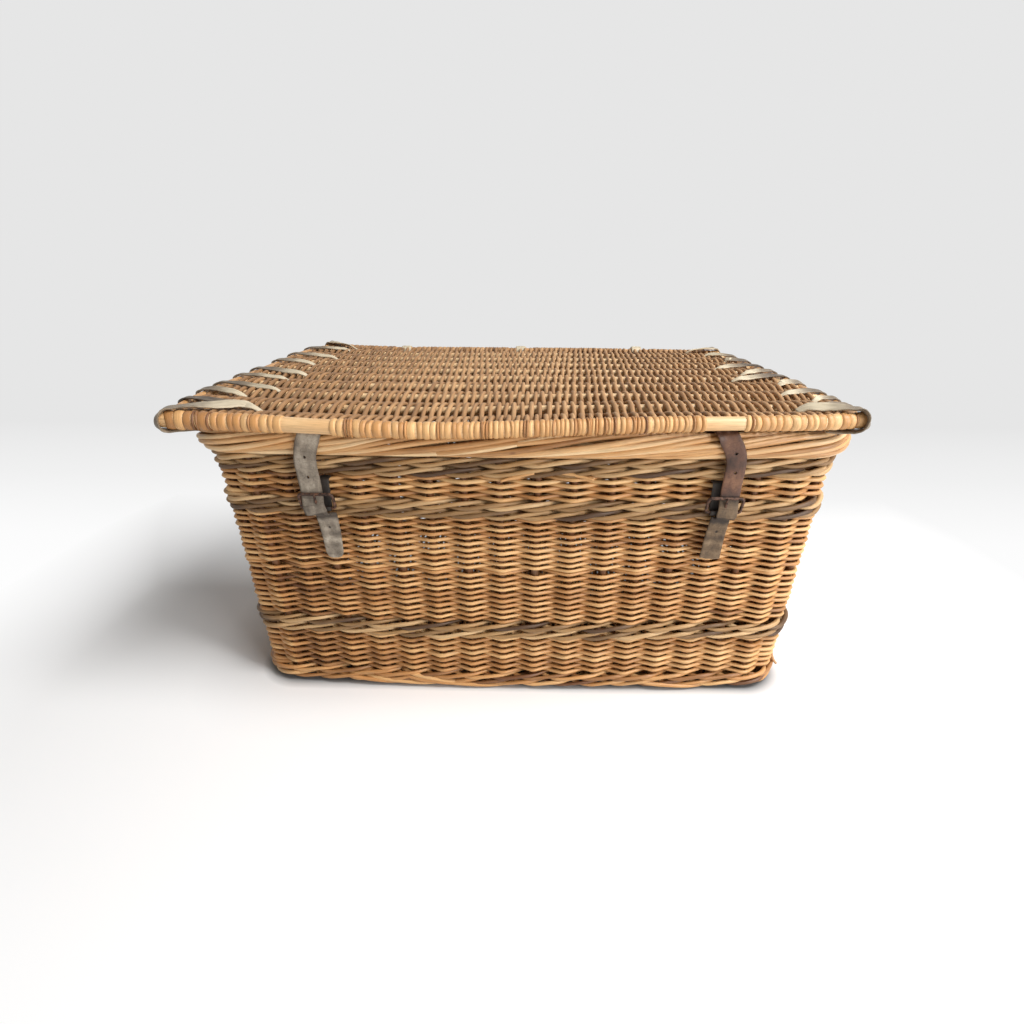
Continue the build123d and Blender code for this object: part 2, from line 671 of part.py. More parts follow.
def buckle_prong(side):
    """The prong: a wire turned round the heel bar, passing through the strap to rest on the front bar."""
    x = side * STRAP_X
    datum = strap_datum()
    eye = RegularPolygon(PRONG_TURN_R + PRONG_TURN_T, LOOP_SIDES) - Circle(WIRE_R + PRONG_TURN_GAP)
    turn = Plane(origin=(x - PRONG_R, datum - HEEL_OUT, HEEL_Z), z_dir=(1, 0, 0)) * eye
    start = Vector(x, datum - HEEL_OUT - PRONG_TURN_R, HEEL_Z)
    tip = Vector(x, datum - FRONT_BAR_OUT - WIRE_R - PRONG_R - PRONG_REST, FRONT_BAR_Z + PRONG_OVER)
    axis = tip - start
    shank = loft([
        Plane(origin=start, z_dir=axis) * RegularPolygon(PRONG_R, WIRE_SIDES),
        Plane(origin=tip, z_dir=axis) * RegularPolygon(PRONG_R * PRONG_TAPER, WIRE_SIDES),
    ])
    return extrude(turn, 2 * PRONG_R) + shank


def parts():
    """Every node's name and its solid or group of solids."""
    nodes = {
        "base_mat": base_mat(),
        "base_sticks": base_sticks(),
        "front_stakes": stakes("front", STAKES_LONG),
        "back_stakes": stakes("back", STAKES_LONG),
        "left_stakes": stakes("left", STAKES_END),
        "right_stakes": stakes("right", STAKES_END),
        "corner_stakes": corner_stakes(),
        "top_border": top_border(),
        "lid_front_rod": lid_front_rod(),
        "lid_back_rod": lid_back_rod(),
        "lid_sticks": lid_sticks(),
        "lid_weave": lid_weave(),
        "front_rod_wrapping": front_rod_wrapping(),
        "back_rod_wrapping": back_rod_wrapping(),
    }
    for name, z0, z1, proud, groove in WALL_BANDS:
        nodes[name] = wall_band(z0, z1, proud, groove)
    nodes["upper_weave"] -= chape_gap(-1) + chape_gap(1)
    for place, x in zip(("left", "middle", "right"), HINGE_XS):
        nodes[place + "_hinge_loop"] = hinge_loop(x)
    for word, side in (("left", -1), ("right", 1)):
        nodes[word + "_handle"] = end_handle(side)
        nodes[word + "_lid_end_rod"] = lid_end_rod(side)
        nodes[word + "_lid_lacing"] = lid_lacing(side)
        nodes[word + "_strap"] = strap(side)
        nodes[word + "_strap_tail"] = strap_tail(side)
        nodes[word + "_chape"] = chape(side)
        nodes[word + "_buckle_frame"] = buckle_frame(side)
        nodes[word + "_buckle_prong"] = buckle_prong(side)
    return nodes


os.makedirs("parts", exist_ok=True)
for name, solid in parts().items():
    shape = Compound(children=list(solid)) if isinstance(solid, list) else solid
    export_step(shape, "parts/" + name + ".step")
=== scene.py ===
import math

import bpy
import numpy as np
from bpy.props import FloatProperty, FloatVectorProperty, IntProperty, PointerProperty
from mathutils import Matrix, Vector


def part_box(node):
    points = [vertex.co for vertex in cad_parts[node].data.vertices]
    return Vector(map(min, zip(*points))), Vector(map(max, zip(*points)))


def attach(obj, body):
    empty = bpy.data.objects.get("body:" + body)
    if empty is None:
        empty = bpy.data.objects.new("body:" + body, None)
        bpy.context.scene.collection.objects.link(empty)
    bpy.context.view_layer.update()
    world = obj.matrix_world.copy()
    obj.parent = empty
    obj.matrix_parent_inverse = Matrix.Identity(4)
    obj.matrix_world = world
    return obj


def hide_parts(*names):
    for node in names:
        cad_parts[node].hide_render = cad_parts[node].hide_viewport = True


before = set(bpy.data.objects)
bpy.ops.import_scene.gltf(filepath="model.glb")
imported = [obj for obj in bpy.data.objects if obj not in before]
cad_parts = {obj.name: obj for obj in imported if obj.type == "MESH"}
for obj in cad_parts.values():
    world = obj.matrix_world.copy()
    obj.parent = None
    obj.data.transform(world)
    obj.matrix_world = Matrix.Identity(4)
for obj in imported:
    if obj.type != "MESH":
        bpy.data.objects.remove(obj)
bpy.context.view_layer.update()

bl_info = {
    "name": "Willow laundry hamper",
    "version": (1, 0, 0),
    "blender": (4, 5, 0),
    "location": "3D View > Sidebar > Hamper",
    "description": "Weaves a willow hamper with a strapped lid round its solid model",
    "category": "Add Mesh",
}

# Lengths are in millimetres until a mesh is made
MM = 0.001
UP = np.array((0.0, 0.0, 1.0))
ACROSS = np.array((1.0, 0.0, 0.0))
FORTH = np.array((0.0, 1.0, 0.0))
BLACK, WHITE = (0.0, 0.0, 0.0), (1.0, 1.0, 1.0)
# Length that the starts of the rods' grain are drawn from, so no two rods are alike
GRAIN_SPREAD = 9000

# The wall's outline, as the solid model has it
MIDDLE_Y = 5.3
FLOOR_HALF = (353.0, 240.0)
RIM_HALF = (366.0, 253.0)
RIM_Z = 327.0
CORNER_R = 55.0
BOW_FRONT, BOW_BACK, BOW_END = 10.0, 4.0, 7.0
# The stakes stand this far inside the wall's outline
STAKE_IN = 10.0
SPACES = 56
# Each side: its first stake, its stakes, which half size it spans, its bow, its way along and its way out
SIDES = (
    (0, 16, 0, BOW_FRONT, (1, 0), (0, -1)),
    (17, 10, 1, BOW_END, (0, 1), (1, 0)),
    (28, 16, 0, BOW_BACK, (-1, 0), (0, 1)),
    (45, 10, 1, BOW_END, (0, -1), (-1, 0)),
)
# How much the floor is lifted towards white, seen by the camera alone
FLOOR_LIFT = 0.08

# Lid, as the solid model has it
LID_X = -6.0
LID_HALF_X = 380.0
LID_FRONT_Y, LID_BACK_Y = -267.0, 270.0
LID_BOW = 14.0
BACK_ROD_Y = MIDDLE_Y + LID_BACK_Y
LID_Z = 370.0
MAT_Z = 371.0
ROD_R = 8.0
END_ROD_X = (-376.0, 364.0)
BARE_FRONT = ((-246.0, -202.0), (192.0, 227.0))
HINGE_XS = (-226.0, -6.0, 214.0)

# Straps, buckles and border, as the solid model has them: pairs are steps out of the wall behind the
# buckles and heights, and the roll's are its half depth and half height
STRAP_X = 229.0
HEEL = (6.6, 267.0)
FRONT_BAR = (12.6, 286.0)
BORDER_FOOT, BORDER_HEAD = 327.0, 358.4
BORDER_OUT, BORDER_THICK = 11.6, 26.0
BORDER_ROLL = (9.6, 11.6)
LEATHER = 2.6
# Heights of the holes in each strap and in both tails, and their radius
STRAP_HOLES = {"left": (330.0, 306.0), "right": (338.0, 316.0)}
TAIL_HOLES = (243.0, 224.0)
HOLE_R = 1.4
# Buckles: half the frame's width, the radii of its wire and its prong's, and the bends in side view
FRAME_HALF, FRAME_WIRE, PRONG_WIRE = 19.2, 1.8, 1.4
PRONG_BEND, CHAPE_BEND = 3.4, 3.0
CHAPE_X = 224.5
# Hinge bands: radius round the back rod, width and thickness
HINGE_BEND, HINGE_WIDTH, HINGE_THICK = 10.4, 18.0, 2.2

# Height of the base's middle, and of the handles' ends
BASE_Z = 15.0
HANDLE_Z = 262.0

# Crossed butts at the foot: the first place, the run along the wall, and the heights of both ends
CROSSED_BUTTS = (
    (1.2, 2.6, 15, 3.4), (2.1, 2.9, 13, 3.2), (3.4, 2.4, 17, 3.6), (4.2, 3.1, 9, 3.1), (0.6, 1.9, 5, 19),
    (2.4, 1.8, 4, 17), (3.6, 2.2, 21, 6), (11.3, 2.6, 12, 3.2), (20.5, 2.8, 14, 3.3), (31.0, 3.0, 15, 3.3),
    (37.4, 2.6, 12, 3.4), (47.2, 2.7, 14, 3.3),
)
# Tips sprung out of the wall: as above, then the inset where each leaves the wall and where it ends
SPRUNG_TIPS = (
    (16.1, 0.5, 46, 15, 3.0, -7.0), (7.9, -0.9, 311, 303, 2.0, -4.5), (8.6, 0.9, 312, 305, 2.0, -4.0),
)
# Bands of the wall: node, lowest and highest point, pitch and rod against the settings, and middle tone
WEAVE_BANDS = (
    ("upsett_weave", 24.0, 82.0, 1.03, 1.03, 0.56),
    ("main_weave_lower", 105.0, 182.0, 0.9, 0.91, 0.62),
    ("main_weave_upper", 182.0, 253.0, 0.89, 0.9, 0.62),
    # The upper band's middle tone is raised as painted light, against the shade that the lid and border cast on
    # it
    ("upper_weave", 275.0, 305.0, 0.98, 1.06, 0.8),
)
WALES = (
    ("foot_wale", 4.4, 24.0), ("lower_wale", 82.0, 105.0),
    ("middle_wale", 253.0, 275.0), ("top_wale", 305.0, 327.0),
)
# Rawhide strips on each end of the lid: where each ends on the lid, and where it crosses the end rod
LEFT_STRIPS = (
    (-282, -239, -205), (-324, -176, -160), (-294, -145, -118), (-309, -76, -62), (-299, -36, -10),
    (-318, 54, 66), (-305, 119, 128), (-313, 214, 196),
)
RIGHT_STRIPS = (
    (301, -239, -214), (326, -197, -176), (309, -153, -134), (327, -89, -70), (285, -52, -20),
    (311, -4, 24), (290, 48, 78), (330, 136, 132), (318, 204, 188),
)

# Lamps, in metres and watts: name, place, size and power. Both are aimed at the middle of the hamper
LIGHT_AIM = (0.0, 0.0, 0.2)
LIGHTS = (("key_light", (1.55, -0.8, 2.75), 1.2, 90.0), ("front_light", (1.9, -1.8, 1.0), 1.3, 48.0))
# Camera, fitted to the lid's corners, the border and the foot: metres and degrees
CAMERA_PLACE = (0.0088, -0.8427, 0.5188)
CAMERA_PITCH, CAMERA_TURN = 66.53, 1.63
CAMERA_LENS, CAMERA_SENSOR = 19.74, 36.0
BACKDROP_GREY = "#e6e6e6"


def linear(text):
    """Linear colour of an sRGB hex value, from the sRGB curve."""
    values = [int(text[i:i + 2], 16) / 255 for i in (1, 3, 5)]
    return tuple(v / 12.92 if v <= 0.04045 else ((v + 0.055) / 1.055) ** 2.4 for v in values)


def unit(vectors):
    """Each vector divided by its length."""
    return vectors / np.linalg.norm(vectors, axis=-1, keepdims=True)


def tangents(path, closed=False):
    """Unit steps along a path, from each point's neighbours."""
    if closed:
        return unit(np.roll(path, -1, 0) - np.roll(path, 1, 0))
    return unit(np.gradient(path, axis=0))


def band_side(path):
    """The way out of the face of a band whose width lies along X."""
    return unit(np.cross(np.broadcast_to(ACROSS, path.shape), tangents(path)))


def wander(at, rng, lengths):
    """Smooth unevenness of about -1 to 1: a sum of sines of the given wavelengths with random phases."""
    total = sum(np.sin(2 * np.pi * (at / length + rng.random())) for length in lengths)
    return total / len(lengths)


def plan(q, z, inset):
    """Points of the wall at stake count q, height z and inset: four bowed sides, each an arc through its
    ends and middle, joined by quarter circles whose centres stay put as the inset grows."""
    q, z, inset = np.broadcast_arrays(np.mod(q, SPACES), np.asarray(z, float), inset)
    halves = [low + (high - low) * z / RIM_Z for low, high in zip(FLOOR_HALF, RIM_HALF)]
    x, y = np.zeros(q.shape), np.zeros(q.shape)
    for first, count, which, bow, along, out in SIDES:
        half, depth = halves[which] - CORNER_R, halves[1 - which]
        last = first + count - 1
        radius = (half ** 2 + bow ** 2) / (2 * bow)
        angle = np.arcsin(half / radius) * (2 * (q - first) / (count - 1) - 1)
        turn = np.pi / 4 * (q - last)
        on_side = q <= last
        run = np.where(on_side, radius * np.sin(angle), half + (CORNER_R - inset) * np.sin(turn))
        side_reach = depth - inset + bow - radius * (1 - np.cos(angle))
        reach = np.where(on_side, side_reach, depth - CORNER_R + (CORNER_R - inset) * np.cos(turn))
        here = (q >= first) & (q < last + 2)
        x = np.where(here, run * along[0] + reach * out[0], x)
        y = np.where(here, run * along[1] + reach * out[1], y)
    return np.stack([x, y + MIDDLE_Y, z], -1)


def front_wall(x, z):
    """How far forward the front wall's outside lies at x and height z: a point on its bowed side."""
    half = FLOOR_HALF[0] + (RIM_HALF[0] - FLOOR_HALF[0]) * z / RIM_Z - CORNER_R
    depth = FLOOR_HALF[1] + (RIM_HALF[1] - FLOOR_HALF[1]) * z / RIM_Z
    radius = (half ** 2 + BOW_FRONT ** 2) / (2 * BOW_FRONT)
    return MIDDLE_Y - (depth + BOW_FRONT - radius + np.sqrt(radius ** 2 - x ** 2))


def lid_front(x):
    """Y of the front rod's centre at x: an arc bowed forward in its middle."""
    return MIDDLE_Y + LID_FRONT_Y - LID_BOW * (1 - ((x - LID_X) / LID_HALF_X) ** 2)


def warped(path):
    """The old lid's set: both ends bowed out in the middle, the left one more and lifted, the right front
    corner drawn in and lifted, the left back corner lifted and the right one sunk, each a product of powers
    of places on the lid. The front sags left of its middle and rises right of it, two bell curves."""
    run = (path[..., 0] - LID_X) / LID_HALF_X
    deep = (path[..., 1] - MIDDLE_Y) / LID_BACK_Y
    left, right = np.clip(-run, 0, 1), np.clip(run, 0, 1)
    bow = (10.0 * right ** 4 - 17.0 * left ** 4) * (1 - deep ** 4)
    corner = right ** 6 * np.clip(-deep, 0, 1) ** 3
    far = np.clip((deep + 0.3) / 1.3, 0, 1) ** 1.5
    front = np.clip(-deep, 0, 1) ** 2
    wave = 2.2 * np.exp(-(((run - 0.55) / 0.3) ** 2)) - 6.5 * np.exp(-(((run + 0.25) / 0.38) ** 2))
    back = far * (7.0 * left ** 5 - 3.5 * right ** 2)
    lift = wave * front + 6.0 * left ** 5 * (1 - deep ** 6) + back + 5.0 * corner
    return path + np.stack([bow - 16.0 * corner, np.zeros(run.shape), lift], -1)


class Rods:
    """Rings of points carried along paths, gathered until they become one closed mesh. Where random draws
    are given, each rod's grain starts at a place of its own."""

    def __init__(self, rng=None):
        self.rng = rng
        self.points, self.quads, self.caps, self.tones, self.grains = [], [], [], [], []
        self.count = 0

    def add(self, path, section, tone, side=None, ref=UP, closed=False):
        """Carries a section along a path. The section is (rings, places, 2): steps along the ring's side
        direction and along its up direction. The side direction is square to the path and to ref."""
        offset = self.rng.uniform(0, GRAIN_SPREAD) if self.rng else 0.0
        tangent = tangents(path, closed)
        side = unit(np.cross(ref, tangent)) if side is None else side
        up = np.cross(tangent, side)
        section = np.broadcast_to(section, (len(path),) + section.shape[-2:])
        rings = path[:, None] + section[..., :1] * side[:, None] + section[..., 1:] * up[:, None]
        rows, places = rings.shape[:2]
        index = self.count + np.arange(rows * places).reshape(rows, places)
        nxt = np.roll(index, -1, 1)
        if closed:
            low, high, low_n, high_n = index, np.roll(index, -1, 0), nxt, np.roll(nxt, -1, 0)
        else:
            low, high, low_n, high_n = index[:-1], index[1:], nxt[:-1], nxt[1:]
            self.caps += [index[0][::-1], index[-1]]
        self.quads.append(np.stack([low, low_n, high_n, high], -1).reshape(-1, 4))
        step = np.linalg.norm(np.diff(path, axis=0), axis=1)
        along = np.concatenate([[0.0], np.cumsum(step)]) + offset
        grain = np.concatenate([np.broadcast_to(along[:, None, None], (rows, places, 1)), section], -1)
        tone = np.broadcast_to(np.reshape(tone, (-1, 1)), (rows, places))
        self.points.append(rings.reshape(-1, 3))
        self.grains.append(grain.reshape(-1, 3))
        self.tones.append(tone.reshape(-1))
        self.count += rows * places

    def mesh(self, name, material, body, nodes, slot):
        """Makes the mesh, in metres, with the tone and grain of each point, and gives it its place."""
        quads = np.concatenate(self.quads)
        caps = [np.asarray(cap) for cap in self.caps]
        loops = np.concatenate([quads.ravel()] + caps)
        sizes = np.concatenate([np.full(len(quads), 4), [len(cap) for cap in caps]])
        sizes = sizes.astype(int)
        starts = np.concatenate([[0], np.cumsum(sizes)[:-1]]).astype(int)
        mesh = bpy.data.meshes.new(name)
        mesh.vertices.add(self.count)
        mesh.vertices.foreach_set("co", (np.concatenate(self.points) * MM).ravel())
        mesh.loops.add(len(loops))
        mesh.loops.foreach_set("vertex_index", loops.astype(int))
        mesh.polygons.add(len(sizes))
        mesh.polygons.foreach_set("loop_start", starts)
        mesh.update(calc_edges=True)
        tone = mesh.attributes.new("tone", "FLOAT", "POINT")
        tone.data.foreach_set("value", np.concatenate(self.tones))
        grain = mesh.attributes.new("grain", "FLOAT_VECTOR", "POINT")
        grain.data.foreach_set("vector", np.concatenate(self.grains).ravel())
        mesh.polygons.foreach_set("use_smooth", np.ones(len(sizes), bool))
        mesh.validate()
        mesh.materials.append(material)
        piece = bpy.data.objects.new(name, mesh)
        bpy.context.scene.collection.objects.link(piece)
        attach(piece, body)
        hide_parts(*nodes)
        return piece


def round_section(radius, sides=8, squash=1.0):
    """A rod's rings: a circle of each radius, its side direction squashed."""
    turn = 2 * np.pi * np.arange(sides) / sides
    radius = np.reshape(radius, (-1, 1))
    return np.stack([radius * squash * np.cos(turn), radius * np.sin(turn)], -1)


def flat_section(width, thick, curl=0.0, places=8):
    """A strip's rings: a long flat loop with rounded edges. Its width runs along the up direction, and a
    curl lifts its edges by the square of their distance from the middle."""
    share = np.sin(np.linspace(-1, 1, places) * np.pi / 2)
    edge = np.sqrt(np.clip(1 - np.abs(share) ** 6, 0, 1)) * 0.86 + 0.14
    width, thick, curl = (np.reshape(value, (-1, 1)) for value in (width, thick, curl))
    across = share * width / 2
    lift = curl * share ** 2
    upper, lower = lift + edge * thick / 2, lift - edge * thick / 2
    sides = np.concatenate([lower, upper[:, ::-1]], 1)
    ups = np.concatenate([across, across[:, ::-1]], 1)
    return np.stack(np.broadcast_arrays(-sides, ups), -1)


def bent(corners, radii, step=1.5):
    """Points along straight runs joined by arcs, by the corner's quadratic curve between its two tangent
    points, then spaced evenly."""
    corners = np.asarray(corners, float)
    points = [corners[:1]]
    for before, corner, after, radius in zip(corners[:-2], corners[1:-1], corners[2:], radii):
        into, away = unit(before - corner), unit(after - corner)
        share = np.linspace(0, 1, 9)[:, None]
        first, last = corner + into * radius, corner + away * radius
        points.append((1 - share) ** 2 * first + 2 * share * (1 - share) * corner + share ** 2 * last)
    points.append(corners[-1:])
    return evened(np.concatenate(points), step)


def evened(points, step):
    """The same line with its points a step apart."""
    run = np.concatenate([[0.0], np.cumsum(np.linalg.norm(np.diff(points, axis=0), axis=1))])
    at = np.linspace(0, run[-1], max(4, int(run[-1] / step) + 1))
    return np.stack([np.interp(at, run, column) for column in points.T], -1)


def add(tree, kind, settings=None, stops=(), out=0, **links):
    """Adds one shader node and gives one of its outputs. A setting whose name starts with a dot goes on the
    node, any other on the socket of that name or number. Stops are a colour ramp's places and colours."""
    node = tree.nodes.new("ShaderNode" + kind)
    for name, value in (settings or {}).items():
        if name.startswith("."):
            setattr(node, name[1:], value)
        else:
            node.inputs[int(name) if name.isdigit() else name].default_value = value
    for name, source in links.items():
        key = name[1:] if name.startswith("_") else name.replace("_", " ")
        tree.links.new(source, node.inputs[int(key) if key.isdigit() else key])
    elements = node.color_ramp.elements if stops else ()
    while len(elements) < len(stops):
        elements.new(0.5)
    for element, (place, colour) in zip(elements, stops):
        element.position = place
        element.color = (*colour, 1.0)
    return node.outputs[out] if node.outputs else None


def blank(name):
    """A material with only its output and shader."""
    material = bpy.data.materials.new(name)
    material.use_nodes = True
    tree = material.node_tree
    tree.nodes.clear()
    output = tree.nodes.new("ShaderNodeOutputMaterial")
    shader = tree.nodes.new("ShaderNodeBsdfPrincipled")
    tree.links.new(shader.outputs[0], output.inputs["Surface"])
    return material, tree, shader


def tone_and_grain(tree):
    """The tone of each rod or strip, and the place on it in mm: along, out and across."""
    tone = add(tree, "Attribute", {".attribute_name": "tone"}, out="Fac")
    return tone, add(tree, "Attribute", {".attribute_name": "grain"}, out="Vector")


def stretched(tree, kind, settings, grain, along, across):
    """A pattern drawn out along a rod or strip, with the given cycles per mm along it and across it."""
    cycles = {".operation": "MULTIPLY", "1": (along, across, across)}
    return add(tree, kind, {"Scale": 1.0, **settings}, Vector=add(tree, "VectorMath", cycles, _0=grain))


def darkened(tree, colour, pattern, stops, amount):
    """The colour multiplied, by an amount, by the greys that a pattern has at its stops."""
    greys = add(tree, "ValToRGB", stops=stops, Fac=pattern)
    mixing = {".data_type": "RGBA", ".blend_type": "MULTIPLY", "0": amount}
    return add(tree, "Mix", mixing, out=2, _6=colour, _7=greys)


def surfaced(tree, shader, colour, roughness, height, strength, depth):
    """Puts a colour, a roughness and a bump of the given depth in metres on the shader."""
    bump = add(tree, "Bump", {"Strength": strength, "Distance": depth}, Height=height)
    for name, value in (("Base Color", colour), ("Roughness", roughness), ("Normal", bump)):
        if isinstance(value, float):
            shader.inputs[name].default_value = value
        else:
            tree.links.new(value, shader.inputs[name])


def willow(name, dark, middle, light, roughness, grey, grime):
    """Buff willow rod, boiled and peeled: a smooth skin with fine lines along it, faint blotches, a dark
    ring at each bud scar, and greyer where it has weathered."""
    material, tree, shader = blank(name)
    tone, grain = tone_and_grain(tree)
    # Blotches 40 mm long, lines 0.9 mm apart and 30 mm long, bud scars 55 mm apart
    blotch = stretched(tree, "TexNoise", {"Detail": 3.0}, grain, 0.025, 0.06)
    lines = stretched(tree, "TexNoise", {"Detail": 4.0, "Roughness": 0.65}, grain, 0.035, 1.1)
    scar = stretched(tree, "TexVoronoi", {}, grain, 0.018, 0.03)
    mixed = add(tree, "Math", {".operation": "MULTIPLY_ADD", "1": 0.55}, _0=blotch, _2=tone)
    shade = add(tree, "MapRange", {"From Min": 0.15, "From Max": 1.4}, Value=mixed)
    colour = add(tree, "ValToRGB", stops=((0.0, dark), (0.5, middle), (1.0, light)), Fac=shade)
    weathered = add(tree, "ValToRGB", stops=((0.52, BLACK), (0.72, WHITE)), Fac=blotch)
    share = add(tree, "Math", {".operation": "MULTIPLY", "1": grime}, _0=weathered)
    colour = add(tree, "Mix", {".data_type": "RGBA", "7": (*grey, 1.0)}, out=2, _0=share, _6=colour)
    colour = darkened(tree, colour, lines, ((0.32, (0.62, 0.58, 0.52)), (0.56, WHITE)), 0.75)
    colour = darkened(tree, colour, scar, ((0.03, (0.42, 0.34, 0.26)), (0.09, WHITE)), 0.8)
    rough = add(tree, "MapRange", {"To Min": roughness - 0.1, "To Max": roughness + 0.14}, Value=lines)
    surfaced(tree, shader, colour, rough, lines, 0.5, 0.0003)
    return material


def rawhide(name, cream, grey, dark):
    """Rawhide strip, cut from hide and dried hard: cream with grey handling dirt, slightly glossy, with
    fine pores and lengthwise creases."""
    material, tree, shader = blank(name)
    tone, grain = tone_and_grain(tree)
    # Dirt in patches of 12 mm, creases 1.5 mm apart and 20 mm long, pores 0.5 mm apart
    patch = stretched(tree, "TexNoise", {"Detail": 4.0}, grain, 0.08, 0.1)
    crease = stretched(tree, "TexNoise", {"Detail": 3.0}, grain, 0.05, 0.7)
    pores = add(tree, "TexNoise", {"Scale": 2.0, "Detail": 2.0}, Vector=grain)
    mixed = add(tree, "Math", {".operation": "MULTIPLY_ADD", "1": 0.6}, _0=patch, _2=tone)
    shade = add(tree, "MapRange", {"From Min": 0.25, "From Max": 1.25}, Value=mixed)
    colour = add(tree, "ValToRGB", stops=((0.0, dark), (0.4, grey), (0.85, cream)), Fac=shade)
    colour = darkened(tree, colour, crease, ((0.3, (0.55, 0.5, 0.44)), (0.5, WHITE)), 0.7)
    height = add(tree, "Math", {".operation": "MULTIPLY_ADD", "1": 0.35}, _0=pores, _2=crease)
    surfaced(tree, shader, colour, 0.5, height, 0.6, 0.0004)
    return material


def strap_leather(name, dark, middle, light, roughness):
    """Old bridle leather, dried out: its dressed face worn paler along the middle and the bends, with
    pores, lengthwise scuffs and cracks across."""
    material, tree, shader = blank(name)
    tone, grain = tone_and_grain(tree)
    # Worn patches of 14 mm, scuffs 2 mm apart and 3 mm long, pores 0.6 mm apart, cracks 3 mm apart
    patch = stretched(tree, "TexNoise", {"Detail": 5.0, "Roughness": 0.6}, grain, 0.06, 0.1)
    scuff = stretched(tree, "TexNoise", {"Detail": 4.0}, grain, 0.3, 0.55)
    pores = add(tree, "TexVoronoi", {"Scale": 1.6}, Vector=grain)
    crack = stretched(tree, "TexVoronoi", {".feature": "DISTANCE_TO_EDGE"}, grain, 0.35, 0.09)
    mixed = add(tree, "Math", {".operation": "MULTIPLY_ADD", "1": 1.3}, _0=patch, _2=tone)
    shade = add(tree, "MapRange", {"From Min": 0.6, "From Max": 1.6}, Value=mixed)
    colour = add(tree, "ValToRGB", stops=((0.0, dark), (0.5, middle), (1.0, light)), Fac=shade)
    # Edges rubbed dark, as the grain's last part is the place across the strap
    across = add(tree, "SeparateXYZ", out="Z", Vector=grain)
    rim = add(tree, "Math", {".operation": "ABSOLUTE"}, _0=across)
    edge = add(tree, "MapRange", {"From Min": 9.8, "From Max": 12.4}, Value=rim)
    colour = darkened(tree, colour, edge, ((0.0, WHITE), (1.0, (0.5, 0.46, 0.43))), 0.9)
    colour = darkened(tree, colour, scuff, ((0.3, (0.62, 0.58, 0.55)), (0.5, WHITE)), 0.5)
    colour = darkened(tree, colour, crack, ((0.0, (0.45, 0.42, 0.4)), (0.06, WHITE)), 0.5)
    rough = add(tree, "MapRange", {"To Min": roughness, "To Max": roughness + 0.2}, Value=patch)
    height = add(tree, "Math", {".operation": "MULTIPLY_ADD", "1": 0.3}, _0=pores, _2=scuff)
    surfaced(tree, shader, colour, rough, height, 0.5, 0.0004)
    return material


def forged_iron(name, dark, rust):
    """Iron wire, bent and left to rust: dark brown scale with orange rust in patches of 4 mm, rough, and
    less metallic where it has rusted."""
    material, tree, shader = blank(name)
    place = add(tree, "TexCoord", out="Object")
    patch = add(tree, "TexNoise", {"Scale": 250.0, "Detail": 5.0}, Vector=place)
    pits = add(tree, "TexNoise", {"Scale": 1400.0, "Detail": 2.0}, Vector=place)
    colour = add(tree, "ValToRGB", stops=((0.4, dark), (0.68, rust)), Fac=patch)
    metal = add(tree, "ValToRGB", stops=((0.4, (0.8, 0.8, 0.8)), (0.6, (0.15, 0.15, 0.15))), Fac=patch)
    tree.links.new(metal, shader.inputs["Metallic"])
    surfaced(tree, shader, colour, 0.58, pits, 0.5, 0.0003)
    return material


class HamperSizes(bpy.types.PropertyGroup):
    """Sizes of the weave, in millimetres."""

    row_pitch: FloatProperty(name="Row pitch", description="Height of one row of wall weave, in mm", default=4.45)
    rod: FloatProperty(name="Weaving rod", description="Radius of a wall weaver, in mm", default=2.35)
    wale_rod: FloatProperty(name="Wale rod", description="Radius of a wale rod, in mm", default=2.65)
    border_rod: FloatProperty(name="Border rod", description="Radius of a border rod, in mm", default=3.2)
    border_rods: IntProperty(name="Border rods", description="Rods in the border's roll", default=13)
    lid_pitch: FloatProperty(name="Lid pitch", description="Spacing of the lid's weavers, in mm", default=4.7)
    lid_rod: FloatProperty(name="Lid weaver", description="Radius of a lid weaver, in mm", default=2.65)
    strap_width: FloatProperty(name="Strap width", description="Width of the straps, in mm", default=25.0)
    seed: IntProperty(name="Seed", description="Start of the rods' unevenness", default=7)


class HamperColours(bpy.types.PropertyGroup):
    """Colours that a user would change."""

    willow: FloatVectorProperty(
        name="Willow", description="Middle tone of the buff willow", subtype="COLOR", default=linear("#c18a52"),
    )
    lid_willow: FloatVectorProperty(
        name="Lid willow", description="Middle tone of the lid", subtype="COLOR", default=linear("#a67c53"),
    )
    weathered: FloatVectorProperty(
        name="Weathered willow", description="Middle tone of the wales", subtype="COLOR",
        default=linear("#ac8556"),
    )
    rawhide: FloatVectorProperty(
        name="Rawhide", description="Clean rawhide", subtype="COLOR", default=linear("#cdbfa4"),
    )
    grey_leather: FloatVectorProperty(
        name="Grey leather", description="Left strap", subtype="COLOR", default=linear("#8a7e6f"),
    )
    brown_leather: FloatVectorProperty(
        name="Brown leather", description="Right strap", subtype="COLOR", default=linear("#5d3c2a"),
    )


GREY_WOOD = linear("#7b6c5a")
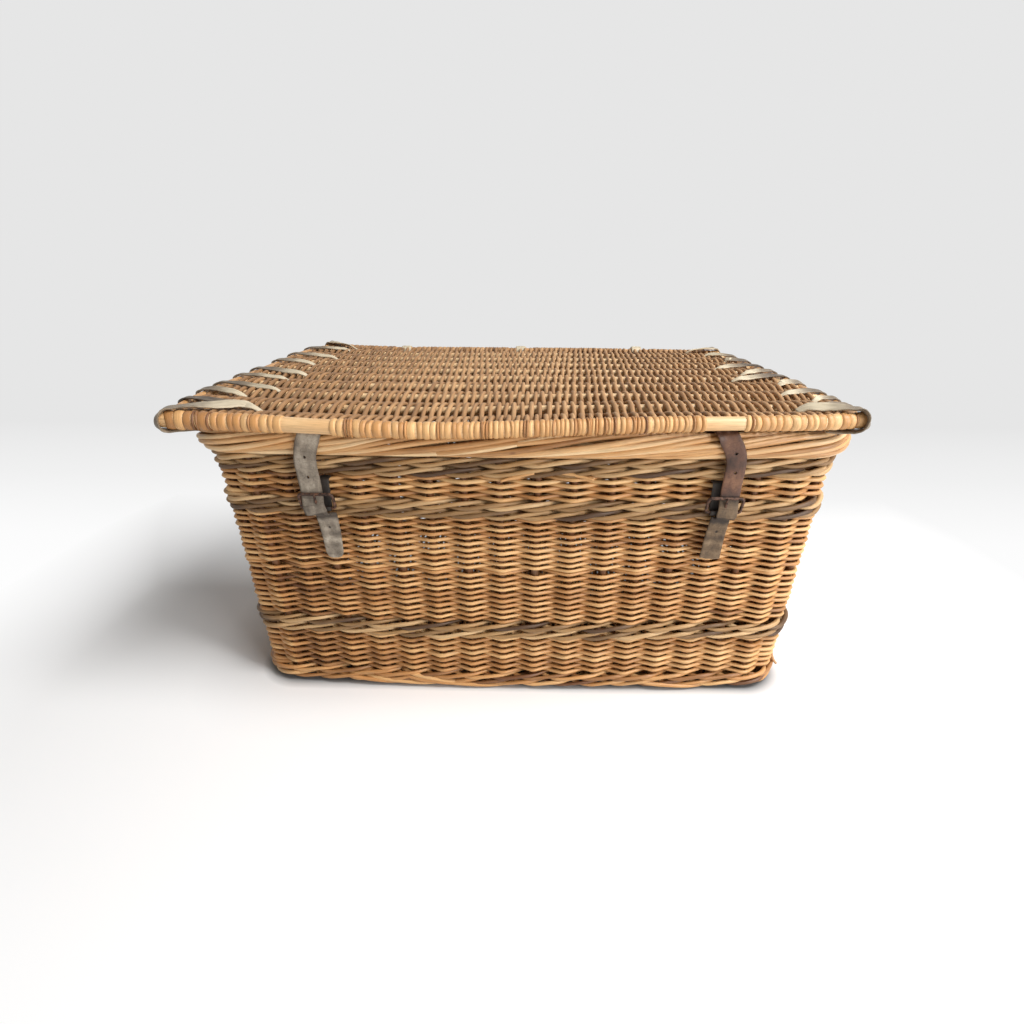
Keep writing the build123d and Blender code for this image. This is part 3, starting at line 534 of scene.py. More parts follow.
# Each finish: what makes it, its material's name, its colours, and its other values. A colour is a hex value
# or the name of one of the settings above
FINISHES = {
    "willow": (willow, "peeled_buff_willow", ("#6b4323", "willow", "#e6b97f"), (0.44, GREY_WOOD, 0.25)),
    # Border and lid rods: willow made paler as painted light, where they catch the lamps from above
    "border_willow": (willow, "handled_buff_willow", ("#8a5c33", "#d6a36b", "#f0ce9e"), (0.4, GREY_WOOD, 0.12)),
    "weathered_willow": (
        willow, "weathered_buff_willow", ("#4f3620", "weathered", "#dcb888"), (0.52, GREY_WOOD, 0.14),
    ),
    "lid_willow": (willow, "matt_lid_willow", ("#5c3f26", "lid_willow", "#d0a576"), (0.6, GREY_WOOD, 0.15)),
    "rawhide": (rawhide, "dried_rawhide", ("rawhide", "#8b7c68", "#54483c"), ()),
    "grey_leather": (strap_leather, "weathered_bridle_leather", ("#4a4036", "grey_leather", "#c2b6a4"), (0.6,)),
    "olive_leather": (strap_leather, "limp_bridle_leather", ("#33271c", "#6b563f", "#9a8266"), (0.6,)),
    # Chapes: leather made near black as painted shade, where it lies in shadow behind the straps
    "dark_leather": (strap_leather, "sooty_bridle_leather", ("#1d1712", "#3a3028", "#5b4c40"), (0.6,)),
    "brown_leather": (strap_leather, "worn_bridle_leather", ("#2b1a11", "brown_leather", "#8c6347"), (0.46,)),
    "iron": (forged_iron, "rusted_iron_wire", ("#3b302b", "#6a4631"), ()),
}
MATERIALS = {}


def finish_of(name):
    """The material of one finish, made when it is first asked for."""
    if name not in MATERIALS:
        make, title, colours, values = FINISHES[name]
        chosen = bpy.context.scene.hamper_colours
        tints = [linear(c) if c.startswith("#") else tuple(getattr(chosen, c)) for c in colours]
        MATERIALS[name] = make(title, *tints, *values)
    return MATERIALS[name]


def settled(q, z):
    """How far the weave has settled at a place: slow waves round the wall, none at the foot and the rim."""
    share = np.clip(z / RIM_Z, 0, 1)
    wave = np.sin(2 * np.pi * 5 * q / SPACES + 1.0) + 0.8 * np.sin(2 * np.pi * 9 * q / SPACES + 3.0 * share)
    return 1.3 * wave * np.sin(np.pi * share)


def over_under(phase):
    """A rod's step out of the wall as it passes stakes: nearly a triangle wave, the sum of three cosines."""
    return (np.cos(phase) + np.cos(3 * phase) / 9 + np.cos(5 * phase) / 25) / 1.15


def stouter(place):
    """How much stouter rods are at a place: 1 in front, more past its corners by straight lines, and a
    little less at the left corner by a bell curve."""
    return 1 + 0.42 * np.clip(np.minimum(place - 15, SPACES - place) / 3, 0, 1) - 0.09 * left_corner(place)


def left_corner(place):
    """How near a place is to the front's left corner: a bell curve."""
    return np.exp(-((place / 2.2) ** 2))


def weave_band(rods, z0, z1, pitch, radius, key):
    """Rows of single rods, each in front of one stake and behind the next, so a row's inset is the stakes'
    plus a rounded triangle wave. Rods end inside and taper, and each next rod begins there."""
    rng = rods.rng
    rows = int(round((z1 - z0) / pitch))
    pitch = (z1 - z0) / rows
    swing = 7.4
    marks = np.arange(SPACES + 1)
    stout = 1 + 0.05 * np.sin(np.linspace(0, 2.6, rows) * np.pi + rng.uniform(0, 6))
    for row in range(rows):
        q = float(rng.integers(0, 7)) * 2 + row % 2
        stop = q + SPACES
        sway = rng.normal(0, 0.32, SPACES + 1)
        bulge = rng.normal(0, 0.55, SPACES + 1)
        sway[-1], bulge[-1] = sway[0], bulge[0]
        while q < stop:
            # A rod passes 8 to 14 stakes, and the row's last one takes up a short rest
            gap = min(2 * int(rng.integers(4, 8)), stop - q)
            if stop - q - gap < 6:
                gap = stop - q
            at = np.arange(q - 0.3, q + gap + 0.3, 1 / 8)
            place = np.mod(at, SPACES)
            z = z0 + (row + 0.5) * pitch
            z = z + np.interp(place, marks, sway) + settled(at, z)
            ends = 2.6 * (np.clip(at[0] + 0.6 - at, 0, 1) + np.clip(at - at[-1] + 0.6, 0, 1))
            over = over_under(np.pi * (at - row))
            inset = STAKE_IN + (swing + np.interp(place, marks, bulge)) * over + ends
            uneven = 1 + 0.015 * rng.normal(0, 1, len(at))
            taper = np.linspace(1.08, 0.94, len(at)) * uneven * stout[row] * stouter(place)
            # Painted shade: a rod is darker where it passes inside, behind a stake, and near the front's left
            # corner, away from the lamps
            tone = np.clip(rng.normal(key, 0.2), 0, 1.2) - 0.2 * over - 0.4 * left_corner(place)
            rods.add(plan(at, z, inset), round_section(radius * taper, 8, 1.1), tone)
            q += gap


def wale_band(rods, z0, z1, rounds, radius):
    """Rounds of three rods that each pass in front of two stakes and behind one, closed rings here. Inset and
    height are sums of two cosines, 19 to the ring, so strokes rise as they run on."""
    rng = rods.rng
    pitch = (z1 - z0) / rounds
    tones = rng.permutation(np.linspace(0.0, 1.0, rounds * 3))
    at = np.arange(0, SPACES, 1 / 7)
    for turn in range(rounds):
        for rod in range(3):
            phase = 2 * np.pi * (19 * at / SPACES - (rod + turn + 0.5) / 3)
            out = 0.333 + 1.05 * np.cos(phase) - 0.283 * np.cos(2 * phase)
            rise = np.sin(phase) + 0.25 * np.sin(2 * phase)
            sway = 0.8 * wander(at, rng, (7, 14, 4))
            z = z0 + (turn + 0.5) * pitch
            z = z + rise * pitch * 0.25 + sway + settled(at, z)
            # The lowest rods are tucked in under the foot
            swing = 9.0 + 0.8 * wander(at, rng, (5.6, 8))
            inset = STAKE_IN + 0.6 - swing * out + 3.0 * np.clip(1 - z / 13, 0, 1)
            size = radius * stouter(at) * (0.98 + 0.14 * wander(at, rng, (14, 8, 4)))
            tone = 0.95 * tones[turn * 3 + rod] + 0.15 + 0.35 * wander(at, rng, (14, 28, 5.6)) - 0.2 * out
            rods.add(plan(at, z, inset), round_section(size, 10), tone, closed=True)


def crossed_butts(rods):
    """The stakes' butts laid slantwise over the foot of the wall, each a straight run that ends inside: its
    inset is a cube of the distance from its middle."""
    for first, run, high, low in CROSSED_BUTTS:
        share = np.linspace(0, 1, 18)
        inset = -0.3 + 10.0 * np.abs(2 * share - 1) ** 3 + rods.rng.uniform(-0.8, 0.8)
        path = plan(first + run * share, high + (low - high) * share, inset)
        rods.add(path, round_section(np.linspace(3.1, 2.5, 18), 10), rods.rng.uniform(0.3, 0.9))


def sprung_tips(rods):
    """Rod tips that have sprung out of the wall: straight runs in place and height, with a squared step out."""
    for first, run, high, low, inset, out in SPRUNG_TIPS:
        share = np.linspace(0, 1, 16)
        path = plan(first + run * share, high + (low - high) * share, inset + (out - inset) * share ** 2)
        rods.add(path, round_section(np.linspace(2.3, 1.7, 16), 10), rods.rng.uniform(0.6, 0.9))


def rope(rods, centre, half_side, half_up, strands, turns, radius, closed=True, sides=10, stray=0.0):
    """Strands wound round a centre line: each is a helix whose step out follows an ellipse, with the
    strand's phase moving on evenly along the line, or straying from that by slow waves."""
    count = len(centre)
    tangent = tangents(centre, closed)
    side = unit(np.cross(UP, tangent))
    up = np.cross(tangent, side)
    share = np.arange(count) / count if closed else np.linspace(0, 1, count)
    for strand in range(strands):
        phase = 2 * np.pi * (turns * share + strand / strands)
        if stray:
            phase = phase + stray * wander(share * 20, rods.rng, (5, 2.5))
        path = centre + half_side * np.cos(phase)[:, None] * side + half_up * np.sin(phase)[:, None] * up
        size = radius * (1 + 0.1 * wander(share * 20, rods.rng, (5, 10, 4)))
        tone = rods.rng.uniform(0.2, 1.25) + 0.35 * wander(share * 20, rods.rng, (4, 2, 10))
        rods.add(path, round_section(size, sides), tone, closed=closed)


def own_draws(context, number):
    """The random draws of one operator, from the seed and the operator's number."""
    return np.random.default_rng(context.scene.hamper_sizes.seed + number)


class HAMPER_OT_wall_weave(bpy.types.Operator):
    """Weaves the four bands of plain weave round the stakes"""

    bl_idname = "hamper.wall_weave"
    bl_label = "Wall weave"

    def execute(self, context):
        sizes = context.scene.hamper_sizes
        rng = own_draws(context, 0)
        for node, z0, z1, pitch, rod, key in WEAVE_BANDS:
            rods = Rods(rng)
            weave_band(rods, z0, z1, sizes.row_pitch * pitch, sizes.rod * rod, key)
            if node == "upsett_weave":
                sprung_tips(rods)
            rods.mesh(node + "_rods", finish_of("willow"), "basket", [node], "willow")
        return {"FINISHED"}


class HAMPER_OT_wales(bpy.types.Operator):
    """Lays the four wales of thick rods"""

    bl_idname = "hamper.wales"
    bl_label = "Wales"

    def execute(self, context):
        rng = own_draws(context, 1)
        for node, z0, z1 in WALES:
            rods = Rods(rng)
            wale_band(rods, z0, z1, 2, context.scene.hamper_sizes.wale_rod)
            if node == "foot_wale":
                crossed_butts(rods)
            finish = "willow" if node == "foot_wale" else "weathered_willow"
            rods.mesh(node + "_rods", finish_of(finish), "basket", [node], "weathered_willow")
        return {"FINISHED"}


class HAMPER_OT_stakes(bpy.types.Operator):
    """Stands the upright stakes inside the weave"""

    bl_idname = "hamper.stakes"
    bl_label = "Stakes"

    def execute(self, context):
        rng = own_draws(context, 2)
        rods = Rods(rng)
        z = np.linspace(2.0, 332.0, 23)
        for stake in range(SPACES):
            # Each stake bends by a slow sine of its height
            bend = 0.12 * np.sin(z / 60 + rng.uniform(0, 6))
            path = plan(stake + 0.03 * rng.normal() + bend * 0.2, z, STAKE_IN + 0.6 * bend)
            # Stakes are toned dark as painted shade, so the gaps beside them read dark
            tone = rng.uniform(-0.4, -0.1)
            rods.add(path, round_section(np.linspace(5.0, 4.4, 23), 12), tone, ref=ACROSS)
        nodes = ["front_stakes", "back_stakes", "left_stakes", "right_stakes", "corner_stakes"]
        rods.mesh("upright_stakes", finish_of("willow"), "basket", nodes, "willow")
        return {"FINISHED"}


class HAMPER_OT_border(bpy.types.Operator):
    """Rolls the top border of thick rods"""

    bl_idname = "hamper.border"
    bl_label = "Top border"

    def execute(self, context):
        sizes = context.scene.hamper_sizes
        rods = Rods(own_draws(context, 3))
        q = np.arange(0, SPACES, 1 / 8)
        centre = plan(q, np.full(len(q), RIM_Z), 3.0)
        centre[:, 2] = (BORDER_FOOT + BORDER_HEAD) / 2 + 0.6 * np.sin(2 * np.pi * 3 * q / SPACES)
        # The border leans out at both ends, more at the left one, by cubes of the place along X
        share = centre[:, 0] / RIM_HALF[0]
        centre[:, 0] += 3.0 * np.clip(share, 0, 1) ** 3 - 6.5 * np.clip(-share, 0, 1) ** 3
        rope(rods, centre, *BORDER_ROLL, sizes.border_rods, -5, sizes.border_rod, stray=0.34)
        rods.mesh("border_rods", finish_of("border_willow"), "basket", ["top_border"], "willow")
        return {"FINISHED"}


class HAMPER_OT_base(bpy.types.Operator):
    """Weaves the base over its sticks"""

    bl_idname = "hamper.base"
    bl_label = "Base"

    def execute(self, context):
        rng = own_draws(context, 4)
        half, span = (side - 16.6 for side in FLOOR_HALF)
        spaces, round_off = 8, 40
        spacing = 2 * span / spaces
        sticks, weavers = Rods(rng), Rods(rng)
        for y in np.linspace(-span, span, spaces + 1)[1:-1]:
            x = np.linspace(-half - 5, half + 5, 30)
            path = np.stack([x, np.full(30, y + MIDDLE_Y), BASE_Z + 0.5 * wander(x, rng, (300, 500))], -1)
            sticks.add(path, round_section(np.full(30, 4.5), 10), rng.uniform(0.3, 0.7))
        for row, x0 in enumerate(np.arange(-half + 2, half - 1, 5.0)):
            # The mat's corners are quarter circles, and its height is a cosine from stick to stick
            corner = np.clip(np.abs(x0) - (half - round_off), 0, round_off)
            reach = span + 2 - (round_off - np.sqrt(np.clip(round_off ** 2 - corner ** 2, 0, None)))
            y = np.linspace(-reach, reach, 56)
            z = BASE_Z + 5.2 * np.cos(np.pi * (y / spacing + row))
            path = np.stack([x0 + 0.4 * wander(y, rng, (140, 90)), y + MIDDLE_Y, z], -1)
            tone = np.clip(rng.normal(0.45, 0.18), 0, 1)
            weavers.add(path, round_section(np.full(56, 2.5), 6), tone)
        sticks.mesh("base_stick_rods", finish_of("willow"), "basket", ["base_sticks"], "willow")
        weavers.mesh("base_weavers", finish_of("willow"), "basket", ["base_mat"], "willow")
        return {"FINISHED"}


def thick_at(x):
    """Radius of the front and back rods at x: a straight taper from the butt on the left."""
    return ROD_R - 0.2 - 0.9 * (x - LID_X) / LID_HALF_X


class HAMPER_OT_lid_rods(bpy.types.Operator):
    """Makes the lid's front, back and end rods and its sticks"""

    bl_idname = "hamper.lid_rods"
    bl_label = "Lid rods"

    def execute(self, context):
        rng = own_draws(context, 5)
        rods, sticks = Rods(rng), Rods(rng)
        # Rings stand closer near both ends, which are rounded off as an ellipse over the last 4 mm
        x = np.linspace(LID_X - LID_HALF_X, LID_X + LID_HALF_X, 120)
        near_end = LID_HALF_X - np.array([0.3, 1.0, 2.0, 3.5])
        x = np.sort(np.concatenate([x, LID_X - near_end, LID_X + near_end]))
        last = np.clip(np.abs(x - LID_X) - LID_HALF_X + 4, 0, 4)
        ends = np.sqrt(np.clip(1 - (last / 4.15) ** 2, 0, 1))
        for y, key in ((lid_front(x), 0.8), (np.full(len(x), BACK_ROD_Y), 0.5)):
            path = np.stack([x, y, np.full(len(x), LID_Z)], -1)
            size = (thick_at(x) + 0.25 * wander(x, rng, (170, 95))) * ends
            rods.add(warped(path), round_section(size, 20), key + 0.12 * wander(x, rng, (60, 110)))
        for end_x in END_ROD_X:
            y = np.linspace(lid_front(end_x), BACK_ROD_Y, 60)
            path = np.stack([end_x + 0.6 * wander(y, rng, (200, 130)), y, np.full(60, LID_Z)], -1)
            rods.add(warped(path), round_section(np.full(60, 6.0), 14), 0.4)
        nodes = ["lid_front_rod", "lid_back_rod", "left_lid_end_rod", "right_lid_end_rod"]
        rods.mesh("lid_frame_rods", finish_of("border_willow"), "lid", nodes, "lid_willow")
        x = np.linspace(END_ROD_X[0] + 6, END_ROD_X[1] - 6, 80)
        for y in np.linspace(LID_FRONT_Y, LID_BACK_Y, 10)[1:-1]:
            forth = MIDDLE_Y + y + 0.8 * wander(x, rng, (240, 400))
            path = np.stack([x, forth, MAT_Z + 0.4 * wander(x, rng, (300, 170))], -1)
            tone = 1.1 + 0.2 * wander(x, rng, (50, 90))
            sticks.add(warped(path), round_section(np.full(80, 4.8), 12), tone)
        sticks.mesh("lid_stick_rods", finish_of("border_willow"), "lid", ["lid_sticks"], "lid_willow")
        return {"FINISHED"}


class HAMPER_OT_lid_weave(bpy.types.Operator):
    """Weaves the lid from front to back over its sticks"""

    bl_idname = "hamper.lid_weave"
    bl_label = "Lid weave"

    def execute(self, context):
        sizes = context.scene.hamper_sizes
        rng = own_draws(context, 6)
        rods = Rods(rng)
        stick_gap = (LID_BACK_Y - LID_FRONT_Y) / 9
        swing = 4.6 + sizes.lid_rod - 1.6
        # Weavers stand evenly along X, bunched a little by slow waves
        starts = np.arange(END_ROD_X[0] + 8.5, END_ROD_X[1] - 8, sizes.lid_pitch)
        starts = starts + 0.9 * wander(starts, rng, (120, 67)) + rng.normal(0, 0.25, len(starts))
        for row, x0 in enumerate(starts):
            front = lid_front(x0) + 3.0
            side = (x0 - LID_X) / LID_HALF_X
            y = np.linspace(front, BACK_ROD_Y - 3.0, 74)
            # The height is a cosine from stick to stick, with a sag that is a half sine each way
            phase = np.pi * ((y - MIDDLE_Y - LID_FRONT_Y) / stick_gap + row)
            over = np.cos(phase)
            sag = -1.2 * np.cos(side * np.pi / 2) * np.sin(np.pi * (y - front) / (y[-1] - front))
            z = MAT_Z + swing * over + sag + 0.6 * wander(y, rng, (90, 150, 50))
            shove = np.interp(phase, np.pi * (row + np.arange(-1, 11)), rng.normal(0, 0.5, 12))
            x = x0 + 0.3 * np.sin(phase) + 0.7 * wander(y, rng, (130, 70)) + shove
            # Two weavers taper towards the back, and the next two towards the front
            taper = np.linspace(1.1, 0.9, len(y))[:: 1 if row % 4 < 2 else -1]
            # Painted light: a weaver is lighter where it rises over a stick and towards the lid's right end,
            # nearer the lamps
            tone = rng.normal(0.5, 0.11) + 0.12 * over + 0.6 * np.clip(side + 0.75, 0, 0.6) - 0.26
            rods.add(warped(np.stack([x, y, z], -1)), round_section(sizes.lid_rod * taper, 8), tone)
        rods.mesh("lid_weavers", finish_of("lid_willow"), "lid", ["lid_weave"], "lid_willow")
        return {"FINISHED"}


class HAMPER_OT_rod_turns(bpy.types.Operator):
    """Turns the weavers' ends round the lid's front and back rods"""

    bl_idname = "hamper.rod_turns"
    bl_label = "Rod turns"

    def execute(self, context):
        rng = own_draws(context, 7)
        turn = 2 * np.pi * np.arange(18) / 18
        forth, rise = np.cos(turn), np.sin(turn)
        side = np.stack([np.zeros(18), forth, rise], -1)
        bare_back = [(x - 21, x + 21) for x in HINGE_XS]
        wrappings = (("front_rod_wrapping", BARE_FRONT, True), ("back_rod_wrapping", bare_back, False))
        for node, bare, front in wrappings:
            rods = Rods(rng)
            x = LID_X - LID_HALF_X + 8.0
            while x < LID_X + LID_HALF_X - 12.0:
                # Flattened rods, wide near the ends of the rod, with a thin dark one now and then
                half = np.interp(x, (-380, -150, 0, 150, 380), (5.0, 4.4, 2.6, 2.6, 5.4)) * rng.uniform(0.7, 1.2)
                thin = rng.random() < 0.3
                half = 1.4 if thin else half
                x += half
                if not any(low < x + half and x - half < high for low, high in bare):
                    y = lid_front(x) if front else BACK_ROD_Y
                    size = thick_at(x) - 0.3 + 0.4 * thin + rng.normal(0, 0.12)
                    lean = rng.normal(0, 0.8)
                    path = np.stack([x + lean * forth, y + size * forth, LID_Z + size * rise], -1)
                    section = round_section(np.full(18, half * 1.02), 12, max(1.7, 0.36 * half) / half)
                    # Turns are darker towards the left end as painted shade, away from the lamps
                    tone = rng.normal(0.3 if thin else 0.78, 0.16) - 1.1 * np.clip(-x / 380 - 0.6, 0, 0.4)
                    rods.add(warped(path), section, tone, side=side, closed=True)
                x += half
            finish = finish_of("willow" if front else "lid_willow")
            rods.mesh(node.replace("wrapping", "turns"), finish, "lid", [node], "lid_willow")
        return {"FINISHED"}


def strip(rng, corners, radii, width, thick, tip):
    """A rawhide strip's path, rings and share along it: its width wanders and narrows to a share at its tip,
    and its edges curl more in the middle of its length."""
    path = warped(bent(corners, radii, 2.2))
    share = np.linspace(0, 1, len(path))
    path[:, 2] += 0.4 * wander(share * 100, rng, (40, 23))
    path[:, 1] += 0.8 * wander(share * 100, rng, (55, 31))
    size = width * (1 + 0.09 * wander(share * 100, rng, (45, 20, 9)))
    size = size * (tip + (1 - tip) * np.clip((1 - share) / 0.16, 0, 1) ** 0.7)
    return path, flat_section(size, np.full(len(path), thick), 1.0 * np.sin(np.pi * share), 8), share


class HAMPER_OT_lacing(bpy.types.Operator):
    """Laces rawhide strips over both ends of the lid"""

    bl_idname = "hamper.lacing"
    bl_label = "Rawhide lacing"

    def execute(self, context):
        rng = own_draws(context, 8)
        ends = (
            ("left", -1, LEFT_STRIPS, END_ROD_X[0], (-290.0, -234.0), 0.5),
            ("right", 1, RIGHT_STRIPS, END_ROD_X[1], (300.0, -236.0), 0.25),
        )
        for word, sign, strips, end_x, corner_tip, narrow in ends:
            rods = Rods(rng)
            # Narrow strips: from under the lid, up round the end rod and in over the weavers
            for inner_x, inner_y, rod_y in strips:
                width = rng.uniform(7.0, 10.0)
                corners = [
                    (end_x - sign * 30, rod_y + 6, MAT_Z - 8.0),
                    (end_x, rod_y + 2, MAT_Z - 8.4),
                    (end_x + sign * 7.6, rod_y, MAT_Z - 4.0),
                    (end_x + sign * 7.6, rod_y, MAT_Z + 2.5),
                    (end_x + sign, rod_y, MAT_Z + 6.8),
                    (end_x - sign * 20, rod_y + (inner_y - rod_y) * 0.3, MAT_Z + 9.0),
                    (inner_x + sign * 9, inner_y, MAT_Z + 8.4),
                    (inner_x, inner_y, MAT_Z + 3.0),
                ]
                path, section, share = strip(rng, corners, (4.5, 3, 3, 4.5, 12, 5), width, 2.4, narrow)
                # Its width lies along Y, tilted on the lid
                across = FORTH + 0.4 * UP * np.clip((share[:, None] - 0.42) / 0.2, 0, 1)
                side = -unit(np.cross(across, tangents(path))) * sign
                tone = 0.12 + 0.88 * np.clip((share - 0.58) / 0.3, 0, 1) + rng.normal(0, 0.1)
                rods.add(path, section, tone, side=side)
            # Broad strips: the same way, but slantwise over both corners
            back_tip = (end_x - sign * 66, BACK_ROD_Y - 34)
            for y, way, (tip_x, tip_y) in ((lid_front(end_x), 1, corner_tip), (BACK_ROD_Y, -1, back_tip)):
                corners = [
                    (end_x - sign * 34, y + way * 10, LID_Z - 11.3),
                    (end_x + sign * 2, y - way * 1, LID_Z - 11.4),
                    (end_x + sign * 9.4, y - way * 7.4, LID_Z - 7.6),
                    (end_x + sign * 9.8, y - way * 7.8, LID_Z + 3.6),
                    (end_x + sign * 2, y - way * 1, LID_Z + 11.4),
                    (end_x - sign * 28, y + way * 15, LID_Z + 11.6),
                    (tip_x + sign * 10, tip_y, LID_Z + 10.8),
                    (tip_x, tip_y, LID_Z + 5.0),
                ]
                path, section, share = strip(rng, corners, (5, 5, 5, 6, 14, 6), 17.0, 2.6, 0.45)
                across = FORTH + 0.3 * way * UP * np.clip((share[:, None] - 0.6) / 0.2, 0, 1)
                across = across + sign * way * ACROSS * np.exp(-(((share[:, None] - 0.3) / 0.1) ** 2))
                side = -unit(np.cross(across, tangents(path))) * sign
                tone = 0.25 + 0.7 * np.clip((share - (0.55 if way > 0 else 0.4)) / 0.3, 0, 1)
                rods.add(path, section, tone, side=side)
            rods.mesh(word + "_lacing_strips", finish_of("rawhide"), "lid", [word + "_lid_lacing"], "rawhide")
        return {"FINISHED"}


class HAMPER_OT_hinges(bpy.types.Operator):
    """Folds the rawhide hinge bands round the back rod"""

    bl_idname = "hamper.hinges"
    bl_label = "Hinge bands"

    def execute(self, context):
        rng = own_draws(context, 9)
        turn = np.linspace(-0.42 * np.pi, 1.46 * np.pi, 40)
        for word, x in zip(("left", "middle", "right"), HINGE_XS):
            # Round the rod in an arc, down behind the border and in under it
            out, up = BACK_ROD_Y + HINGE_BEND * np.cos(turn), LID_Z + HINGE_BEND * np.sin(turn)
            loop = np.stack([np.full(40, x), out, up], -1)
            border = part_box(word + "_hinge_loop")[0][1] * 1000
            low = [
                (x, border + 5.4, LID_Z - 12.0), (x, border + 5.6, BORDER_FOOT + 4),
                (x, border + 4.6, BORDER_FOOT - 1.8), (x, border - 8, BORDER_FOOT - 2.4),
            ]
            path = evened(np.concatenate([loop[::-1][:34], bent(low, (3, 3), 1.5)]), 1.6)
            band = flat_section(np.full(len(path), HINGE_WIDTH), np.full(len(path), HINGE_THICK))
            rods = Rods(rng)
            rods.add(path, band, 1.0, side=band_side(path))
            rods.mesh(word + "_hinge_band", finish_of("rawhide"), "basket", [word + "_hinge_loop"], "rawhide")
        return {"FINISHED"}


def datum_y():
    """Y of the wall's outside behind the buckles."""
    return float(front_wall(np.float64(STRAP_X), FRONT_BAR[1]))


def from_side(points, xs):
    """Points in 3-D from steps out of the wall behind the buckles and heights, with a place along X for each."""
    points = np.asarray(points, float)
    return np.stack([np.asarray(xs, float), datum_y() - points[:, 0], points[:, 1]], -1)


def punched(piece, path, heights):
    """Cuts round holes straight through a strap along Y, at the given heights in the middle of its path."""
    for z in heights:
        cutter = Rods()
        x = float(np.interp(-z, -path[:, 2], path[:, 0]))
        run = np.array([(x, datum_y() - 40.0, z), (x, datum_y() - 6.5, z)])
        cutter.add(run, round_section(np.full(2, HOLE_R), 12), 0.0)
        faces = np.concatenate(cutter.quads).tolist() + [cap.tolist() for cap in cutter.caps]
        mesh = bpy.data.meshes.new("punch")
        mesh.from_pydata((np.concatenate(cutter.points) * MM).tolist(), [], faces)
        punch = bpy.data.objects.new("punch", mesh)
        bpy.context.scene.collection.objects.link(punch)
        cut = piece.modifiers.new("hole", "BOOLEAN")
        cut.operation, cut.solver, cut.object = "DIFFERENCE", "EXACT", punch
        bpy.context.view_layer.update()
        shown = piece.evaluated_get(bpy.context.evaluated_depsgraph_get())
        cut_mesh = bpy.data.meshes.new_from_object(shown)
        piece.modifiers.clear()
        piece.data = cut_mesh
        bpy.data.objects.remove(punch)


class HAMPER_OT_straps(bpy.types.Operator):
    """Hangs the two leather straps over the border and through the buckles"""

    bl_idname = "hamper.straps"
    bl_label = "Straps"

    def execute(self, context):
        rng = own_draws(context, 10)
        inner, outer, top = BORDER_OUT - BORDER_THICK - 2.8, BORDER_OUT + 2.0, BORDER_HEAD + 1.3
        # From inside the rim, over the border, down to the front bar, over it and down to the tail
        over = [
            (inner, 314.0), (inner, top), (outer, top), (outer, 334.0),
            (8.2, 287.0), (14.2, 269.0), (12.2, 261.5), (8.6, 259.6),
        ]
        hanging = [(9.4, 261.5), (8.0, 256.0), (4.4, 236.0)]
        left = (-211, -214, -224, -234.5, -234, -232, -229.5, -228.5)
        right = (210, 212, 218, 234, 233, 232, 231, 230)
        self.strap(context, rng, "left", over, left, "grey_leather")
        self.strap(context, rng, "right", over, right, "brown_leather")
        self.tail(context, rng, "left", hanging + [(2.6, 201.5)], (-221, -220.5, -219.5, -218.5), "grey_leather")
        self.tail(context, rng, "right", hanging + [(2.8, 206.5)], (227, 226.5, 225, 223), "olive_leather")
        return {"FINISHED"}

    def leather(self, context, rng, word, points, xs, radii):
        """A strap's path, the share along it, its width and its tone, both wandering."""
        path = bent(from_side(points, xs), radii, 1.2)
        share = np.linspace(0, 1, len(path))
        width = context.scene.hamper_sizes.strap_width * (1.0 if word == "left" else 0.86)
        width = width * (1 + 0.014 * wander(share * 100, rng, (30, 12)))
        return path, share, width, 0.42 + 0.22 * wander(share * 100, rng, (22, 37))

    def cut_out(self, rng, path, width, curl, tone):
        """Rings of a strap's width and curl, carried along its path."""
        rods = Rods(rng)
        section = flat_section(width, np.full(len(path), LEATHER), curl, 14)
        rods.add(path, section, tone, side=band_side(path))
        return rods

    def strap(self, context, rng, word, points, xs, finish):
        """A strap, a little wider where it bends over the bar: a bell curve. Tones are bell curves of height."""
        path, share, width, tone = self.leather(context, rng, word, points, xs, (8, 8, 14, 16, 5, 1.6))
        z, outside = path[:, 2], share > 0.5
        width = width + 1.2 * np.exp(-((z - 266) / 5) ** 2) * outside
        tone = tone + (0.35 * np.exp(-((z - 350) / 8) ** 2) if word == "left" else 0.0)
        # Painted shade: darker in a band where the strap passes behind the front bar, and at its end, tucked in
        # under the fold
        tone = tone - 0.4 * (share > 0.97) - 0.3 * np.exp(-((z - 286) / 3) ** 2) * outside
        curl = 0.8 * np.sin(np.pi * share) * wander(share * 100, rng, (60, 35))
        rods = self.cut_out(rng, path, width, curl, tone)
        made = rods.mesh(word + "_strap_leather", finish_of(finish), "basket", [word + "_strap"], finish)
        punched(made, path[len(path) // 2:], STRAP_HOLES[word])
        if finish == "brown_leather":
            # Its lower end, past the bar, is limper and paler
            made.data.materials.append(finish_of("olive_leather"))
            centre = np.empty(len(made.data.polygons) * 3)
            made.data.polygons.foreach_get("center", centre)
            centre = centre.reshape(-1, 3) / MM
            lower = (centre[:, 2] < 285.5) & (centre[:, 1] < datum_y())
            made.data.polygons.foreach_set("material_index", lower.astype(int))

    def tail(self, context, rng, word, points, xs, finish):
        """A loose tail, narrowing to a tip by a quarter circle, darker where it leaves the buckle as a painted
        shadow of the strap's fold above it.
        """
        tip_length, taper = (9.0, 4.5) if word == "left" else (1.5, -2.0)
        path, share, width, tone = self.leather(context, rng, word, points, xs, (4, 8))
        tip = np.clip((path[:, 2] - path[-1, 2]) / tip_length, 0, 1)
        width = (width - taper * share) * (0.34 + 0.66 * np.sqrt(1 - (1 - tip) ** 2))
        # Painted shadow of the strap's fold, at the tail's top
        tone = tone - 0.45 * np.exp(-(share * len(path) * 1.2 / 7) ** 2)
        rods = self.cut_out(rng, path, width, 1.0 * share, tone)
        slot = finish.replace("olive", "brown")
        made = rods.mesh(word + "_tail_leather", finish_of(finish), word + "_tail", [word + "_strap_tail"], slot)
        punched(made, path, TAIL_HOLES)


